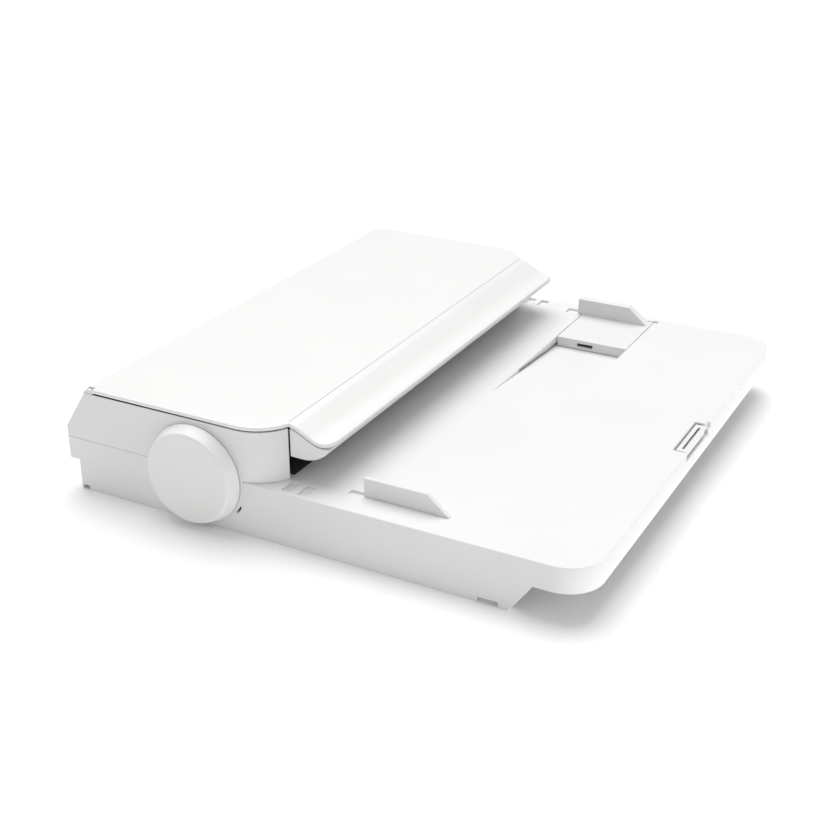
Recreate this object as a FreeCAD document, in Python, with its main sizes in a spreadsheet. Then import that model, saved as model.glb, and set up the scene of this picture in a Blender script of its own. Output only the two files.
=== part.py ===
import FreeCAD, Part
import math
import os
import re
import Sketcher

# Automatic document feeder, in millimetres.  While it is drawn, X runs from the
# feeder's closed end to the open end of the paper tray, Y from the front skirt to
# the back, Z up from the surface it stands on.  Each finished piece is then moved
# so that the origin is below the middle of the whole unit.

doc = FreeCAD.newDocument("DocumentFeeder")
sheet = doc.addObject("Spreadsheet::Sheet", "Dims")

sizes = {
    # whole unit
    "unit_width": 235.0, "unit_depth": 244.0, "seam_height": 23.7, "wall": 2.2,
    # paper tray
    "plate_depth": 10.9, "plate_corner_radius": 15.0, "side_step": 4.8, "side_step_height": 13.4,
    "skirt_foot_setback": 30.9, "skirt_top_setback": 21.9, "bay_end": 79.5,
    "notch_setback": 35.3, "notch_width": 8.5, "notch_height": 2.0,
    "hook_window_width": 4.2, "hook_window_depth": 1.2, "hook_window_length": 7.8,
    "boss_radius": 3.2, "boss_hole_radius": 1.3, "boss_hole_depth": 10.0, "boss_lift": 0.6,
    "boss_left": 14.0, "boss_right": 188.0,
    "under_cover_start": 110.0, "under_cover_thickness": 1.5, "panel_clearance": 0.3,
    # feeder housing
    "housing_length": 105.4, "housing_corner_radius": 19.4, "housing_height": 22.2,
    "bevel_height": 17.3, "bevel_slope": 0.665, "throat_inset": 11.5,
    # top cover
    "cover_gap": 0.5, "cover_thickness": 1.6, "wing_reach": 16.6, "wing_drop": 5.9,
    "wing_lip": 5.0, "wing_corner_radius": 5.5, "wing_guide_depth": 12.7,
    "hinge_x": 13.4, "barrel_radius": 2.6, "barrel_clearance": 0.35, "ear_radius": 2.1,
    "hinge_pin_radius": 1.0, "hinge_pin_length": 9.0, "ear_width": 1.7,
    # paper guides
    "guide_height": 8.0, "guide_start": 136.4, "guide_top_length": 27.0, "guide_slope_run": 10.2,
    "front_guide_face": 12.5, "front_guide_thickness": 2.5, "paper_channel": 217.0,
    "rear_guide_thickness": 5.5, "channel_start": 138.6, "channel_width": 36.4,
    "channel_front": 124.0, "slider_depth": 5.0, "slider_length": 40.0, "slider_tail": 7.0,
    "slider_clearance": 0.3, "slider_lift": 0.2, "tongue_length": 14.0, "tongue_height": 1.2, "tongue_width": 0.9,
    # paper stop
    "stop_setback": 6.2, "stop_front": 107.0, "stop_length": 30.0, "stop_depth": 4.2,
    "stop_bar_width": 4.6, "stop_bar_thickness": 2.8, "stop_end_clearance": 1.3, "stop_pin_radius": 0.8,
    # jam knob
    "knob_radius": 21.1, "knob_face_radius": 19.8, "knob_thickness": 6.0, "knob_proud": 7.0,
    "knob_rim": 0.9, "knob_wall": 2.4, "collar_radius": 22.0,
    "collar_thickness": 0.6,
    # feed roller
    "feed_x": 66.5, "feed_drop": 1.0, "feed_radius": 10.0, "feed_shaft_radius": 3.0,
    "running_clearance": 0.05, "frame_margin_front": 1.0, "frame_margin_rear": 1.5,
    "frame_thickness": 1.5, "frame_end": 101.3, "frame_upper_end": 98.5,
    "frame_start": 9.0, "flange_start": 12.0, "flange_length": 36.0, "flange_width": 7.5,
    "flange_thickness": 1.8, "screw_inset": 8.0, "screw_radius": 1.2, "screw_head_radius": 2.5,
    # gears
    "gear_module": 0.8, "fine_module": 0.5, "feed_teeth": 30, "drive_teeth": 16, "idler_teeth": 20,
    "exit_teeth": 12, "small_teeth": 12, "big_teeth": 48, "pinion_teeth": 12, "backlash": 0.3,
    "gear_gap": 0.4, "fine_gear_width": 2.4, "gear_width": 3.0, "stud_radius": 2.0,
    # separation and pick-up
    "drive_rise": 15.3, "drive_shaft_radius": 2.5, "separation_radius": 7.5, "arm_length": 21.5,
    "arm_drop_angle": 12.5, "pickup_radius": 6.0, "roller_width": 24.0, "module_front": 104.0,
    "module_width": 40.0, "cheek_thickness": 2.0, "pulley_radius": 3.6, "pulley_width": 3.0,
    "belt_thickness": 0.7, "pad_thickness": 0.8, "nip_clearance": 0.3, "holder_thickness": 1.2,
    "ramp_height": 5.9, "ramp_start": 103.5, "ramp_length": 13.0,
    # exit rollers and the lower guide
    "exit_drop": 9.5, "exit_radius": 4.5, "exit_shaft_radius": 2.0, "pinch_radius": 3.6,
    "pinch_axle_radius": 1.2, "exit_roller_width": 16.0, "guide_shell": 1.4, "guide_gap": 1.2,
    "scan_slot_start": 74.0, "scan_slot_width": 8.0, "pan_thickness": 1.8, "foot_height": 1.2,
    "foot_radius": 5.0, "foot_inset_x": 9.2, "foot_inset_y": 44.0, "foot_spacing": 50.0,
    "feed_tyre_inset": 16.5, "exit_tyre_inset": 36.5, "board_inset": 27.0,
    "hook_x": 88.0,
    # motor
    "motor_radius": 12.5, "motor_length": 15.0, "motor_shaft_radius": 1.0, "motor_flange": 1.0,
    # sensor flag
    "flag_x": 94.5, "flag_drop": 5.1, "flag_front": 165.0, "flag_width": 3.0, "flag_reach": 10.6,
    "flag_barrel_radius": 1.6, "flag_pin_radius": 0.8,
}
for row, (word, size) in enumerate(sizes.items(), 1):
    sheet.set("A%d" % row, word)
    sheet.set("B%d" % row, str(size))
    sheet.setAlias("B%d" % row, word)
doc.recompute()

# lengths that follow from the driving sizes, as expressions
def meshed(direction, spin, followed, own):
    """The turn of a gear whose teeth enter the spaces of the one it meets, in degrees up from +X."""
    return "(%s + 180 - (0.5 - (%s - %s) * %s / 360) * 360 / %s)" % (direction, direction, spin, followed,
                                                                     own)


names = {
    "feed_to_drive": "(atan2(drive_rise; drive_run) / 1deg)",
    "feed_to_idler": "(-asin(exit_drop / exit_reach) / 1deg)",
    "drive_spin": meshed("feed_to_drive", "0", "feed_teeth", "drive_teeth"),
    "idler_spin": meshed("feed_to_idler", "0", "feed_teeth", "idler_teeth"),
    "exit_spin": meshed("feed_to_idler", "idler_spin", "idler_teeth", "exit_teeth"),
    "compound_spin": meshed("180", "0", "feed_teeth", "small_teeth"),
    "pinion_spin": meshed("180", "compound_spin", "big_teeth", "pinion_teeth"),
    "tray_skin": "(seam_height - wall)",
    "housing_top": "(seam_height + housing_height)",
    "bevel_foot": "(seam_height + housing_height - bevel_height)",
    "feed_z": "(seam_height - feed_drop)",
    "flag_z": "(seam_height - flag_drop)",
    "frame_inner_front": "(front_guide_face + frame_margin_front)",
    "frame_inner_rear": "(front_guide_face + front_guide_thickness + paper_channel + frame_margin_rear)",
    "frame_bottom": "(foot_height + pan_thickness)",
    "frame_top": "(seam_height + housing_height - 1.1)",
    "plate_bottom": "(seam_height - plate_depth)",
    "cover_bottom": "(housing_top + cover_gap)",
    "cover_top": "(housing_top + cover_gap + cover_thickness)",
    "hinge_z": "(housing_top + cover_gap + cover_thickness - barrel_radius)",
    "bevel_top": "((housing_top - bevel_foot) * bevel_slope)",
    "wing_tip": "(housing_length + wing_reach)",
    "wing_root": "(housing_length - 1.7)",
    "pan_top": "(foot_height + pan_thickness)",
    "rear_guide_face": "(front_guide_face + front_guide_thickness + paper_channel)",
    "slider_front": "(rear_guide_face + slider_tail - slider_length)",
    "channel_end": "(rear_guide_face + slider_tail + 0.9)",
    "channel_rise": "(slider_depth / (slider_front - channel_front))",
    "stop_x": "(unit_width - stop_setback + 2.2)",
    "stop_z": "(seam_height - 1.8)",
    "gear_layer_a": "(frame_inner_rear + frame_thickness + gear_gap)",
    "gear_layer_b": "(frame_inner_rear + frame_thickness + 2 * gear_gap + fine_gear_width)",
    "shaft_end": "(frame_inner_rear + frame_thickness + 2 * gear_gap + fine_gear_width + gear_width)",
    "feed_pitch": "(gear_module * feed_teeth / 2)",
    "drive_pitch": "(gear_module * drive_teeth / 2)",
    "idler_pitch": "(gear_module * idler_teeth / 2)",
    "exit_pitch": "(gear_module * exit_teeth / 2)",
    "small_pitch": "(gear_module * small_teeth / 2)",
    "drive_run": "sqrt((feed_pitch + drive_pitch) ^ 2 - drive_rise ^ 2)",
    "drive_x": "(feed_x + drive_run)",
    "drive_z": "(feed_z + drive_rise)",
    "exit_reach": "(feed_pitch + 2 * idler_pitch + exit_pitch)",
    "exit_x": "(feed_x + sqrt(exit_reach ^ 2 - exit_drop ^ 2))",
    "exit_z": "(feed_z - exit_drop)",
    "idler_share": "((feed_pitch + idler_pitch) / exit_reach)",
    "idler_x": "(feed_x + idler_share * sqrt(exit_reach ^ 2 - exit_drop ^ 2))",
    "idler_z": "(feed_z - idler_share * exit_drop)",
    "compound_x": "(feed_x - feed_pitch - small_pitch)",
    "motor_x": "(compound_x - fine_module * (big_teeth + pinion_teeth) / 2)",
    "pickup_x": "(drive_x + arm_length * cos(arm_drop_angle * 1deg))",
    "pickup_z": "(drive_z - arm_length * sin(arm_drop_angle * 1deg))",
    "module_end": "(module_front + module_width)",
    "roller_front": "(module_front + cheek_thickness + 6)",
    "pad_top": "(drive_z - separation_radius - nip_clearance)",
    "holder_top": "(pad_top - pad_thickness)",
    "pad_pivot_x": "(ramp_start - ramp_length + 0.7)",
    "pad_pivot_z": "(holder_top - holder_thickness - 1.6)",
    "turn_inner": "(feed_radius + guide_gap)",
    "turn_outer": "(feed_radius + guide_gap + guide_shell)",
    "pinch_z": "(exit_z - exit_radius - nip_clearance - pinch_radius)",
}


def spelled(text):
    """Put derived names in place and point every word at its cell in the sheet."""
    for _ in range(6):
        text = re.sub(r"\b[a-z]\w+\b", lambda found: names.get(found[0], found[0]), text)
    return re.sub(r"\b[a-z]\w+\b", lambda found: "Dims." + found[0] if found[0] in sizes else found[0],
                  text)


def measure(text):
    """The present number of an expression, in millimetres or degrees."""
    number = sheet.evalExpression(spelled(text))
    return float(getattr(number, "Value", number))


def bind(item, prop, text):
    item.setExpression(prop, spelled(text))


# ---------- simple solids ----------

def block(name, x, y, z):
    """A box between two expressions along each axis."""
    box = doc.addObject("Part::Box", name)
    for side, edge, (low, high) in (("x", "Length", x), ("y", "Width", y), ("z", "Height", z)):
        bind(box, "Placement.Base." + side, low)
        bind(box, edge, "(%s) - (%s)" % (high, low))
    return box


turns = {
    "y": FreeCAD.Rotation(FreeCAD.Vector(1, 0, 0), -90),
    "x": FreeCAD.Rotation(FreeCAD.Vector(0, 1, 0), 90),
    "z": FreeCAD.Rotation(),
}


def rod(name, axis, place, radius, length):
    """A cylinder from place, running length along the axis."""
    cylinder = doc.addObject("Part::Cylinder", name)
    cylinder.Placement = FreeCAD.Placement(FreeCAD.Vector(), turns[axis])
    for side, text in zip("xyz", place):
        bind(cylinder, "Placement.Base." + side, text)
    bind(cylinder, "Radius", radius)
    bind(cylinder, "Height", length)
    return cylinder


def cross_rod(name, x, z, radius, front, back):
    """A cylinder along Y between two expressions."""
    return rod(name, "y", (x, front, z), radius, "(%s) - (%s)" % (back, front))


def fuse(name, *pieces):
    joined = doc.addObject("Part::MultiFuse", name)
    joined.Shapes = list(pieces)
    joined.Refine = True
    return joined


def cut(name, base, *tools):
    result = doc.addObject("Part::Cut", name)
    result.Base = base
    result.Tool = tools[0] if len(tools) == 1 else fuse(name + "_tools", *tools)
    result.Refine = True
    return result


def common(name, base, tool):
    result = doc.addObject("Part::Common", name)
    result.Base = base
    result.Tool = tool
    return result


def group(name, pieces):
    """Equal loose pieces kept as separate solids of one node."""
    bundle = doc.addObject("Part::Compound", name)
    bundle.Links = list(pieces)
    return bundle


# ---------- sketched bodies ----------

def origin_plane(body, role):
    return [item for item in body.Origin.OriginFeatures if item.Role == role][0]


def outline(body, name, plane, offset, corners):
    """A closed sketch with one bound corner per pair of expressions."""
    sketch = body.newObject("Sketcher::SketchObject", name)
    sketch.AttachmentSupport = [(origin_plane(body, plane + "_Plane"), "")]
    sketch.MapMode = "FlatFace"
    bind(sketch, ".AttachmentOffset.Base.z", offset)
    points = [FreeCAD.Vector(measure(across), measure(up), 0) for across, up in corners]
    count = len(points)
    for index in range(count):
        sketch.addGeometry(Part.LineSegment(points[index], points[(index + 1) % count]))
    for index in range(count):
        sketch.addConstraint(Sketcher.Constraint("Coincident", index, 2, (index + 1) % count, 1))
    for index, (across, up) in enumerate(corners):
        for kind, text, now in (("DistanceX", across, points[index].x), ("DistanceY", up, points[index].y)):
            number = sketch.addConstraint(Sketcher.Constraint(kind, -1, 1, index, 1, now))
            bind(sketch, "Constraints[%d]" % number, text)
    return sketch


def rounded(body, base, corners, radius):
    """Round the upright edges at the given places in plan."""
    doc.recompute()
    wanted = [(measure(x), measure(y)) for x, y in corners]
    edges = []
    for number, edge in enumerate(base.Shape.Edges, 1):
        ends = [vertex.Point for vertex in edge.Vertexes]
        for x, y in wanted:
            if len(ends) == 2 and all(math.hypot(end.x - x, end.y - y) < 0.01 for end in ends):
                edges.append("Edge%d" % number)
    fillet = body.newObject("PartDesign::Fillet", body.Name + "_rounding")
    fillet.Base = (base, edges)
    bind(fillet, "Radius", radius)
    body.Tip = fillet
    return fillet


def prism(name, plane, corners, start, end, round_corners=(), radius="1"):
    """A padded outline: plane XZ runs back along Y, XY runs up, YZ runs along X."""
    body = doc.addObject("PartDesign::Body", name)
    offset = "-(%s)" % start if plane == "XZ" else start
    sketch = outline(body, name + "_outline", plane, offset, corners)
    pad = body.newObject("PartDesign::Pad", name + "_pad")
    pad.Profile = sketch
    pad.Reversed = plane == "XZ"
    bind(pad, "Length", "(%s) - (%s)" % (end, start))
    body.Tip = pad
    if round_corners:
        rounded(body, pad, round_corners, radius)
    return body


def rectangle(x, y):
    return [(x[0], y[0]), (x[1], y[0]), (x[1], y[1]), (x[0], y[1])]


def gear(name, module, teeth, width, bore):
    """A spur gear along Y, with a tooth space on +X, and slack for smooth running."""
    body = doc.addObject("PartDesign::Body", name)
    blank = body.newObject("Sketcher::SketchObject", name + "_blank")
    blank.AttachmentSupport = [(origin_plane(body, "XZ_Plane"), "")]
    blank.MapMode = "FlatFace"
    tip = "(%s * %s / 2 + 0.75 * %s)" % (module, teeth, module)
    root = "(%s * %s / 2 - 1.1 * %s)" % (module, teeth, module)
    for number, (size, text) in enumerate(((measure(tip), tip), (measure(bore), bore))):
        blank.addGeometry(Part.Circle(FreeCAD.Vector(), FreeCAD.Vector(0, 0, 1), size))
        blank.addConstraint(Sketcher.Constraint("Coincident", number, 3, -1, 1))
        last = blank.addConstraint(Sketcher.Constraint("Radius", number, size))
        bind(blank, "Constraints[%d]" % last, text)
    pad = body.newObject("PartDesign::Pad", name + "_pad")
    pad.Profile = blank
    pad.Reversed = True
    bind(pad, "Length", width)
    body.Tip = pad
    half = "(%s * pi / 4 + backlash / 2)" % module
    flank = "0.364"
    low = "(%s - 1.1 * %s * %s)" % (half, module, flank)
    high = "(%s + (0.75 * %s + 0.4) * %s)" % (half, module, flank)
    far = "(%s + 0.4)" % tip
    corners = [(root, "-" + low), (far, "-" + high), (far, high), (root, low)]
    space = outline(body, name + "_space", "XZ", "0", corners)
    doc.recompute()
    before = body.Shape.Volume
    pocket = body.newObject("PartDesign::Pocket", name + "_pocket")
    pocket.Profile = space
    pocket.Type = "ThroughAll"
    pocket.Midplane = True
    body.Tip = pocket
    doc.recompute()
    if pocket.Shape.Volume >= before:
        raise RuntimeError("no tooth space was cut in " + name)
    pattern = body.newObject("PartDesign::PolarPattern", name + "_teeth")
    pattern.Originals = [pocket]
    pattern.Axis = (blank, ["N_Axis"])
    pattern.Angle = 360
    bind(pattern, "Occurrences", teeth)
    body.Tip = pattern
    return body


def stand(piece, x, y, z, angle="0"):
    """Set a piece on a shaft line, turned about Y."""
    piece.Placement = FreeCAD.Placement(FreeCAD.Vector(), FreeCAD.Rotation(FreeCAD.Vector(0, 1, 0), 1))
    bind(piece, "Placement.Rotation.Angle", angle)
    for side, text in zip("xyz", (x, y, z)):
        bind(piece, "Placement.Base." + side, text)
    return piece


parts = []


def piece(node, shape):
    """Name a finished piece and move it to the unit's own origin."""
    if shape.TypeId in ("Part::Box", "Part::Cylinder") or not shape.Placement.isIdentity():
        shape = group(node + "_set", [shape])
    shape.Label = node
    bind(shape, "Placement.Base.x", "-unit_width / 2")
    bind(shape, "Placement.Base.y", "-(unit_depth - knob_proud) / 2")
    parts.append((node, shape))



# ---------- paper tray ----------

def base_tray():
    outside = [
        ("side_step", "0"), ("unit_width - skirt_foot_setback", "0"),
        ("unit_width - skirt_top_setback", "plate_bottom"), ("unit_width", "plate_bottom"),
        ("unit_width", "seam_height"), ("0", "seam_height"), ("0", "side_step_height"),
        ("side_step", "side_step_height"),
    ]
    right_corners = [("unit_width", "0"), ("unit_width", "unit_depth")]
    shell = prism("tray_block", "XZ", outside, "0", "unit_depth", right_corners, "plate_corner_radius")
    low, high = "wall", "unit_depth - wall"
    hollow_plan = rectangle(("side_step + wall", "unit_width - wall"), (low, high))
    hollow = prism("tray_hollow", "XY", hollow_plan, "-1", "tray_skin",
                   [("unit_width - wall", low), ("unit_width - wall", high)], "plate_corner_radius - wall")
    left_hollow = block("tray_left_hollow", ("wall", "side_step + 2 * wall"), (low, high),
                        ("side_step_height + wall", "seam_height + 1"))
    skin = cut("tray_skin", shell, hollow, left_hollow)
    trough = block("channel_trough", ("channel_start - 2.8", "channel_start + channel_width + 2.8"),
                   ("channel_front", high), ("plate_bottom + under_cover_thickness + 0.1", "tray_skin"))
    stop_floor = block("stop_floor", ("unit_width - stop_setback - 2", "unit_width - wall / 2"),
                       ("stop_front - 2", "stop_front + stop_length + 2"),
                       ("seam_height - stop_depth - 1.5", "tray_skin"))
    added = [trough, stop_floor]
    for side, y in (("front", "wall + boss_radius - 0.4"), ("rear",
                                                            "unit_depth - wall - boss_radius + 0.4")):
        for end in ("left", "right"):
            added.append(rod("boss_%s_%s" % (side, end), "z", ("boss_" + end, y, "boss_lift"),
                             "boss_radius",
                             "boss_hole_depth + 1.5"))
    for side, y in (("near", "flag_front - 3"), ("far", "flag_front + flag_width + 0.6")):
        added.append(block("flag_bracket_" + side, ("flag_x - 2", "flag_x + 2"), (y, y + " + 2.4"),
                           ("flag_z - 2", "tray_skin + 0.1")))
    solid = fuse("tray_body", skin, *added)
    removed = [
        block("feeder_bay", ("side_step + wall", "bay_end"), (low, high), ("tray_skin - 1",
                                                                           "seam_height + 1")),
        block("stop_recess", ("unit_width - stop_setback", "unit_width + 1"),
              ("stop_front", "stop_front + stop_length"), ("seam_height - stop_depth", "seam_height + 1")),
        block("flag_slot", ("flag_x - 6.5", "flag_x + 6.5"), ("flag_front - 0.6",
                                                              "flag_front + flag_width + 0.6"),
              ("flag_z - 3", "seam_height + 1")),
        cross_rod("flag_pin_hole", "flag_x", "flag_z", "flag_pin_radius", "flag_front - 4",
                  "flag_front + 8"),
        cross_rod("knob_hole", "feed_x", "feed_z", "feed_shaft_radius + 0.5", "-1", "wall + 1"),
        cross_rod("stop_pin_hole", "stop_x", "stop_z", "stop_pin_radius", "stop_front - 1.5",
                  "stop_front + stop_length + 1.5"),
    ]
    floor_end = "seam_height - (channel_end - channel_front) * channel_rise"
    channel = [("channel_front", "seam_height"), ("channel_end", floor_end),
               ("channel_end", "seam_height + 1"), ("channel_front", "seam_height + 1")]
    removed.append(prism("channel", "YZ", channel, "channel_start", "channel_start + channel_width"))
    removed.append(prism("channel_groove", "YZ", groove("channel_front + 26", "channel_end", "0", "1.6"),
                         "channel_start - tongue_width - slider_clearance",
                         "channel_start + channel_width + tongue_width + slider_clearance"))
    gear_end = "idler_x + idler_pitch + gear_module + 0.6"
    side_bays = [
        ("front", "frame_end + 0.3", ("frame_inner_front - frame_thickness - 0.2",
                                      "frame_inner_front + 0.2")),
        ("rear", "frame_end + 0.3", ("frame_inner_rear - 0.2", "frame_inner_rear + frame_thickness + 0.2")),
        ("gears", gear_end, ("frame_inner_rear", "unit_depth - wall + 0.1")),
    ]
    for side, end, y in side_bays:
        removed.append(block("side_bay_" + side, ("bay_end - 1", end), y, ("tray_skin - 1",
                                                                           "seam_height + 1")))
    for side, y in (("front", ("-1", "wall + 1")), ("rear", ("unit_depth - wall - 1", "unit_depth + 1"))):
        start = "unit_width - notch_setback - notch_width"
        removed.append(block("skirt_notch_" + side, (start, start + " + notch_width"), y, ("-1",
                                                                                           "notch_height")))
    for side, y in (("front", "2.2"), ("rear", "unit_depth - 2.2 - hook_window_length")):
        for number, x in enumerate(("housing_length - 0.1", "housing_length + 7")):
            removed.append(block("hook_window_%s_%d" % (side, number), (x, x + " + hook_window_width"),
                                 (y, y + " + hook_window_length"), ("seam_height - hook_window_depth",
                                                                    "seam_height + 1")))
    for side, y in (("front", "wall + boss_radius - 0.4"), ("rear",
                                                            "unit_depth - wall - boss_radius + 0.4")):
        for end in ("left", "right"):
            removed.append(rod("boss_hole_%s_%s" % (side, end), "z", ("boss_" + end, y, "boss_lift - 1"),
                               "boss_hole_radius", "boss_hole_depth + 1"))
    piece("base_tray", cut("base_tray_cut", solid, *removed))


def groove(front, back, low, high):
    """A strip parallel to the rising floor of the slider channel."""
    floor = "seam_height - (%s - channel_front) * channel_rise + %s"
    return [(front, floor % (front, low)), (back, floor % (back, low)),
            (back, floor % (back, high)), (front, floor % (front, high))]


def tray_under_cover():
    x = ("under_cover_start", "unit_width - wall - panel_clearance")
    y = ("wall + panel_clearance", "unit_depth - wall - panel_clearance")
    corners = [(x[1], y[0]), (x[1], y[1])]
    panel = prism("under_panel", "XY", rectangle(x, y), "plate_bottom",
                  "plate_bottom + under_cover_thickness",
                  corners, "plate_corner_radius - wall - panel_clearance")
    tools = []
    for side, y in (("front", "wall + boss_radius - 0.4"), ("rear",
                                                            "unit_depth - wall - boss_radius + 0.4")):
        tools.append(rod("panel_hole_" + side, "z", ("boss_right", y, "plate_bottom - 1"),
                         "boss_radius + panel_clearance", "under_cover_thickness + 2"))
    piece("tray_under_cover", cut("under_panel_cut", panel, *tools))


def front_paper_guide():
    piece("front_paper_guide", fin("front_fin", "seam_height", "front_guide_face",
                                   "front_guide_face + front_guide_thickness"))


def fin(name, foot, front, back):
    """An upright side guide with one sloping end."""
    end = "guide_start + guide_top_length"
    top = "seam_height + guide_height"
    corners = [("guide_start", foot), (end + " + guide_slope_run", foot), (end, top), ("guide_start", top)]
    return prism(name, "XZ", corners, front, back)


def rear_paper_guide():
    rise = "(channel_rise * (%s - channel_front))"
    front, back = "slider_front", "slider_front + slider_length"
    side = [
        (front, "seam_height + slider_lift - " + rise % "slider_front"), (front, "seam_height - 0.05"),
        (back, "seam_height - 0.05"), (back,
                                       "seam_height + slider_lift - " + rise % "(slider_front + slider_length)"),
    ]
    plate = prism("slider_plate", "YZ", side, "channel_start + slider_clearance",
                  "channel_start + channel_width - slider_clearance")
    tongue_front = "(slider_front + slider_length - tongue_length)"
    tongues = prism("slider_tongues", "YZ", groove(tongue_front, "(slider_front + slider_length)",
                                                   "slider_lift", "tongue_height"),
                    "channel_start - tongue_width", "channel_start + channel_width + tongue_width")
    upright = fin("rear_fin", "seam_height + 0.15", "rear_guide_face",
                  "rear_guide_face + rear_guide_thickness")
    neck = block("rear_fin_neck", ("channel_start + 1", "channel_start + channel_width - 2"),
                 ("rear_guide_face + 0.5", "rear_guide_face + rear_guide_thickness - 0.5"),
                 ("seam_height - 1", "seam_height + 1"))
    slot = block("slider_slot", ("channel_start + 10.9", "channel_start + 18.9"),
                 ("slider_front - 1", "slider_front + 3"), ("seam_height - 3.4", "seam_height - 2.2"))
    piece("rear_paper_guide", cut("rear_guide_cut", fuse("rear_guide_body", plate, tongues, upright, neck),
                                  slot))


def paper_stop():
    front = "stop_front + stop_end_clearance"
    back = "stop_front + stop_length - stop_end_clearance"
    bar = block("stop_bar", ("stop_x - 1.6", "stop_x - 1.6 + stop_bar_width"), (front, back),
                ("stop_z - 1.4", "stop_z - 1.4 + stop_bar_thickness"))
    groove_cut = block("stop_groove", ("stop_x + 0.2", "stop_x + 1"), (front + " + 3", back + " - 3"),
                       ("stop_z + 0.6", "stop_z + 3"))
    grip = block("stop_grip", ("stop_x - 0.2", "stop_x + 4"), (back + " - 2.2", back + " + 1"),
                 ("stop_z - 2", "stop_z + 0.2"))
    bore = cross_rod("stop_bore", "stop_x", "stop_z", "stop_pin_radius + running_clearance", front + " - 1",
                     back + " + 1")
    piece("paper_stop", cut("stop_cut", bar, groove_cut, grip, bore))
    piece("stop_pin", cross_rod("stop_pin_rod", "stop_x", "stop_z", "stop_pin_radius", "stop_front - 1.5",
                                "stop_front + stop_length + 1.5"))


# ---------- feeder housing and top cover ----------

def feeder_housing():
    outside = [("0", "seam_height"), ("housing_length", "seam_height"), ("housing_length", "housing_top"),
               ("bevel_top", "housing_top"), ("0", "bevel_foot")]
    block_corners = [("housing_length", "0"), ("housing_length", "unit_depth")]
    outer = prism("housing_block", "XZ", outside, "0", "unit_depth", block_corners, "housing_corner_radius")
    inside = [
        ("wall", "seam_height - 1"), ("housing_length - wall", "seam_height - 1"),
        ("housing_length - wall", "housing_top + 1"), ("bevel_top + bevel_slope + 1.2 * wall",
                                                       "housing_top + 1"),
        ("wall", "bevel_foot - 0.2 * wall / bevel_slope"),
    ]
    low, high = "wall", "unit_depth - wall"
    inner = prism("housing_hollow", "XZ", inside, low, high,
                  [("housing_length - wall", low), ("housing_length - wall",
                                                    high)], "housing_corner_radius - wall")
    throat = block("throat", ("housing_length - 2.2 * wall", "housing_length + 1"),
                   ("throat_inset", "unit_depth - throat_inset"), ("seam_height - 1", "housing_top + 1"))
    relief = cross_rod("barrel_relief", "hinge_x", "hinge_z", "barrel_radius + barrel_clearance", low, high)
    knob_hole = cross_rod("housing_knob_hole", "feed_x", "feed_z", "feed_shaft_radius + 0.5", "-1",
                          "wall + 1")
    shell = cut("housing_shell", outer, inner, throat, relief, knob_hole)
    ears = [
        cross_rod("front_ear", "hinge_x", "hinge_z", "ear_radius", "0.3", "0.3 + ear_width"),
        cross_rod("rear_ear", "hinge_x", "hinge_z", "ear_radius", "unit_depth - 0.3 - ear_width",
                  "unit_depth - 0.3"),
    ]
    pin_holes = [
        cross_rod("front_pin_hole", "hinge_x", "hinge_z", "hinge_pin_radius", "1", "wall + 1"),
        cross_rod("rear_pin_hole", "hinge_x", "hinge_z", "hinge_pin_radius", "unit_depth - wall - 1",
                  "unit_depth - 1"),
    ]
    piece("feeder_housing", cut("housing_final", fuse("housing_eared", shell, *ears), *pin_holes))


def hinge_pins():
    pins = [
        cross_rod("front_hinge_pin", "hinge_x", "hinge_z", "hinge_pin_radius", "1", "1 + hinge_pin_length"),
        cross_rod("rear_hinge_pin", "hinge_x", "hinge_z", "hinge_pin_radius",
                  "unit_depth - 1 - hinge_pin_length",
                  "unit_depth - 1"),
    ]
    piece("hinge_pins", group("hinge_pin_pair", pins))


def wing_line(lift):
    """The cover's underside from the flat top down to the wing's lip."""
    run = "(wing_root + %s * (wing_tip - wing_lip - wing_root))"
    drop = "cover_bottom - %s * wing_drop + " + lift
    steps = (("0", "0"), ("0.2", "0.12"), ("0.47", "0.42"), ("0.75", "0.72"), ("0.9", "0.94"), ("1", "1"))
    return [(run % along, drop % down) for along, down in steps] + [("wing_tip", drop % "1")]


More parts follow.
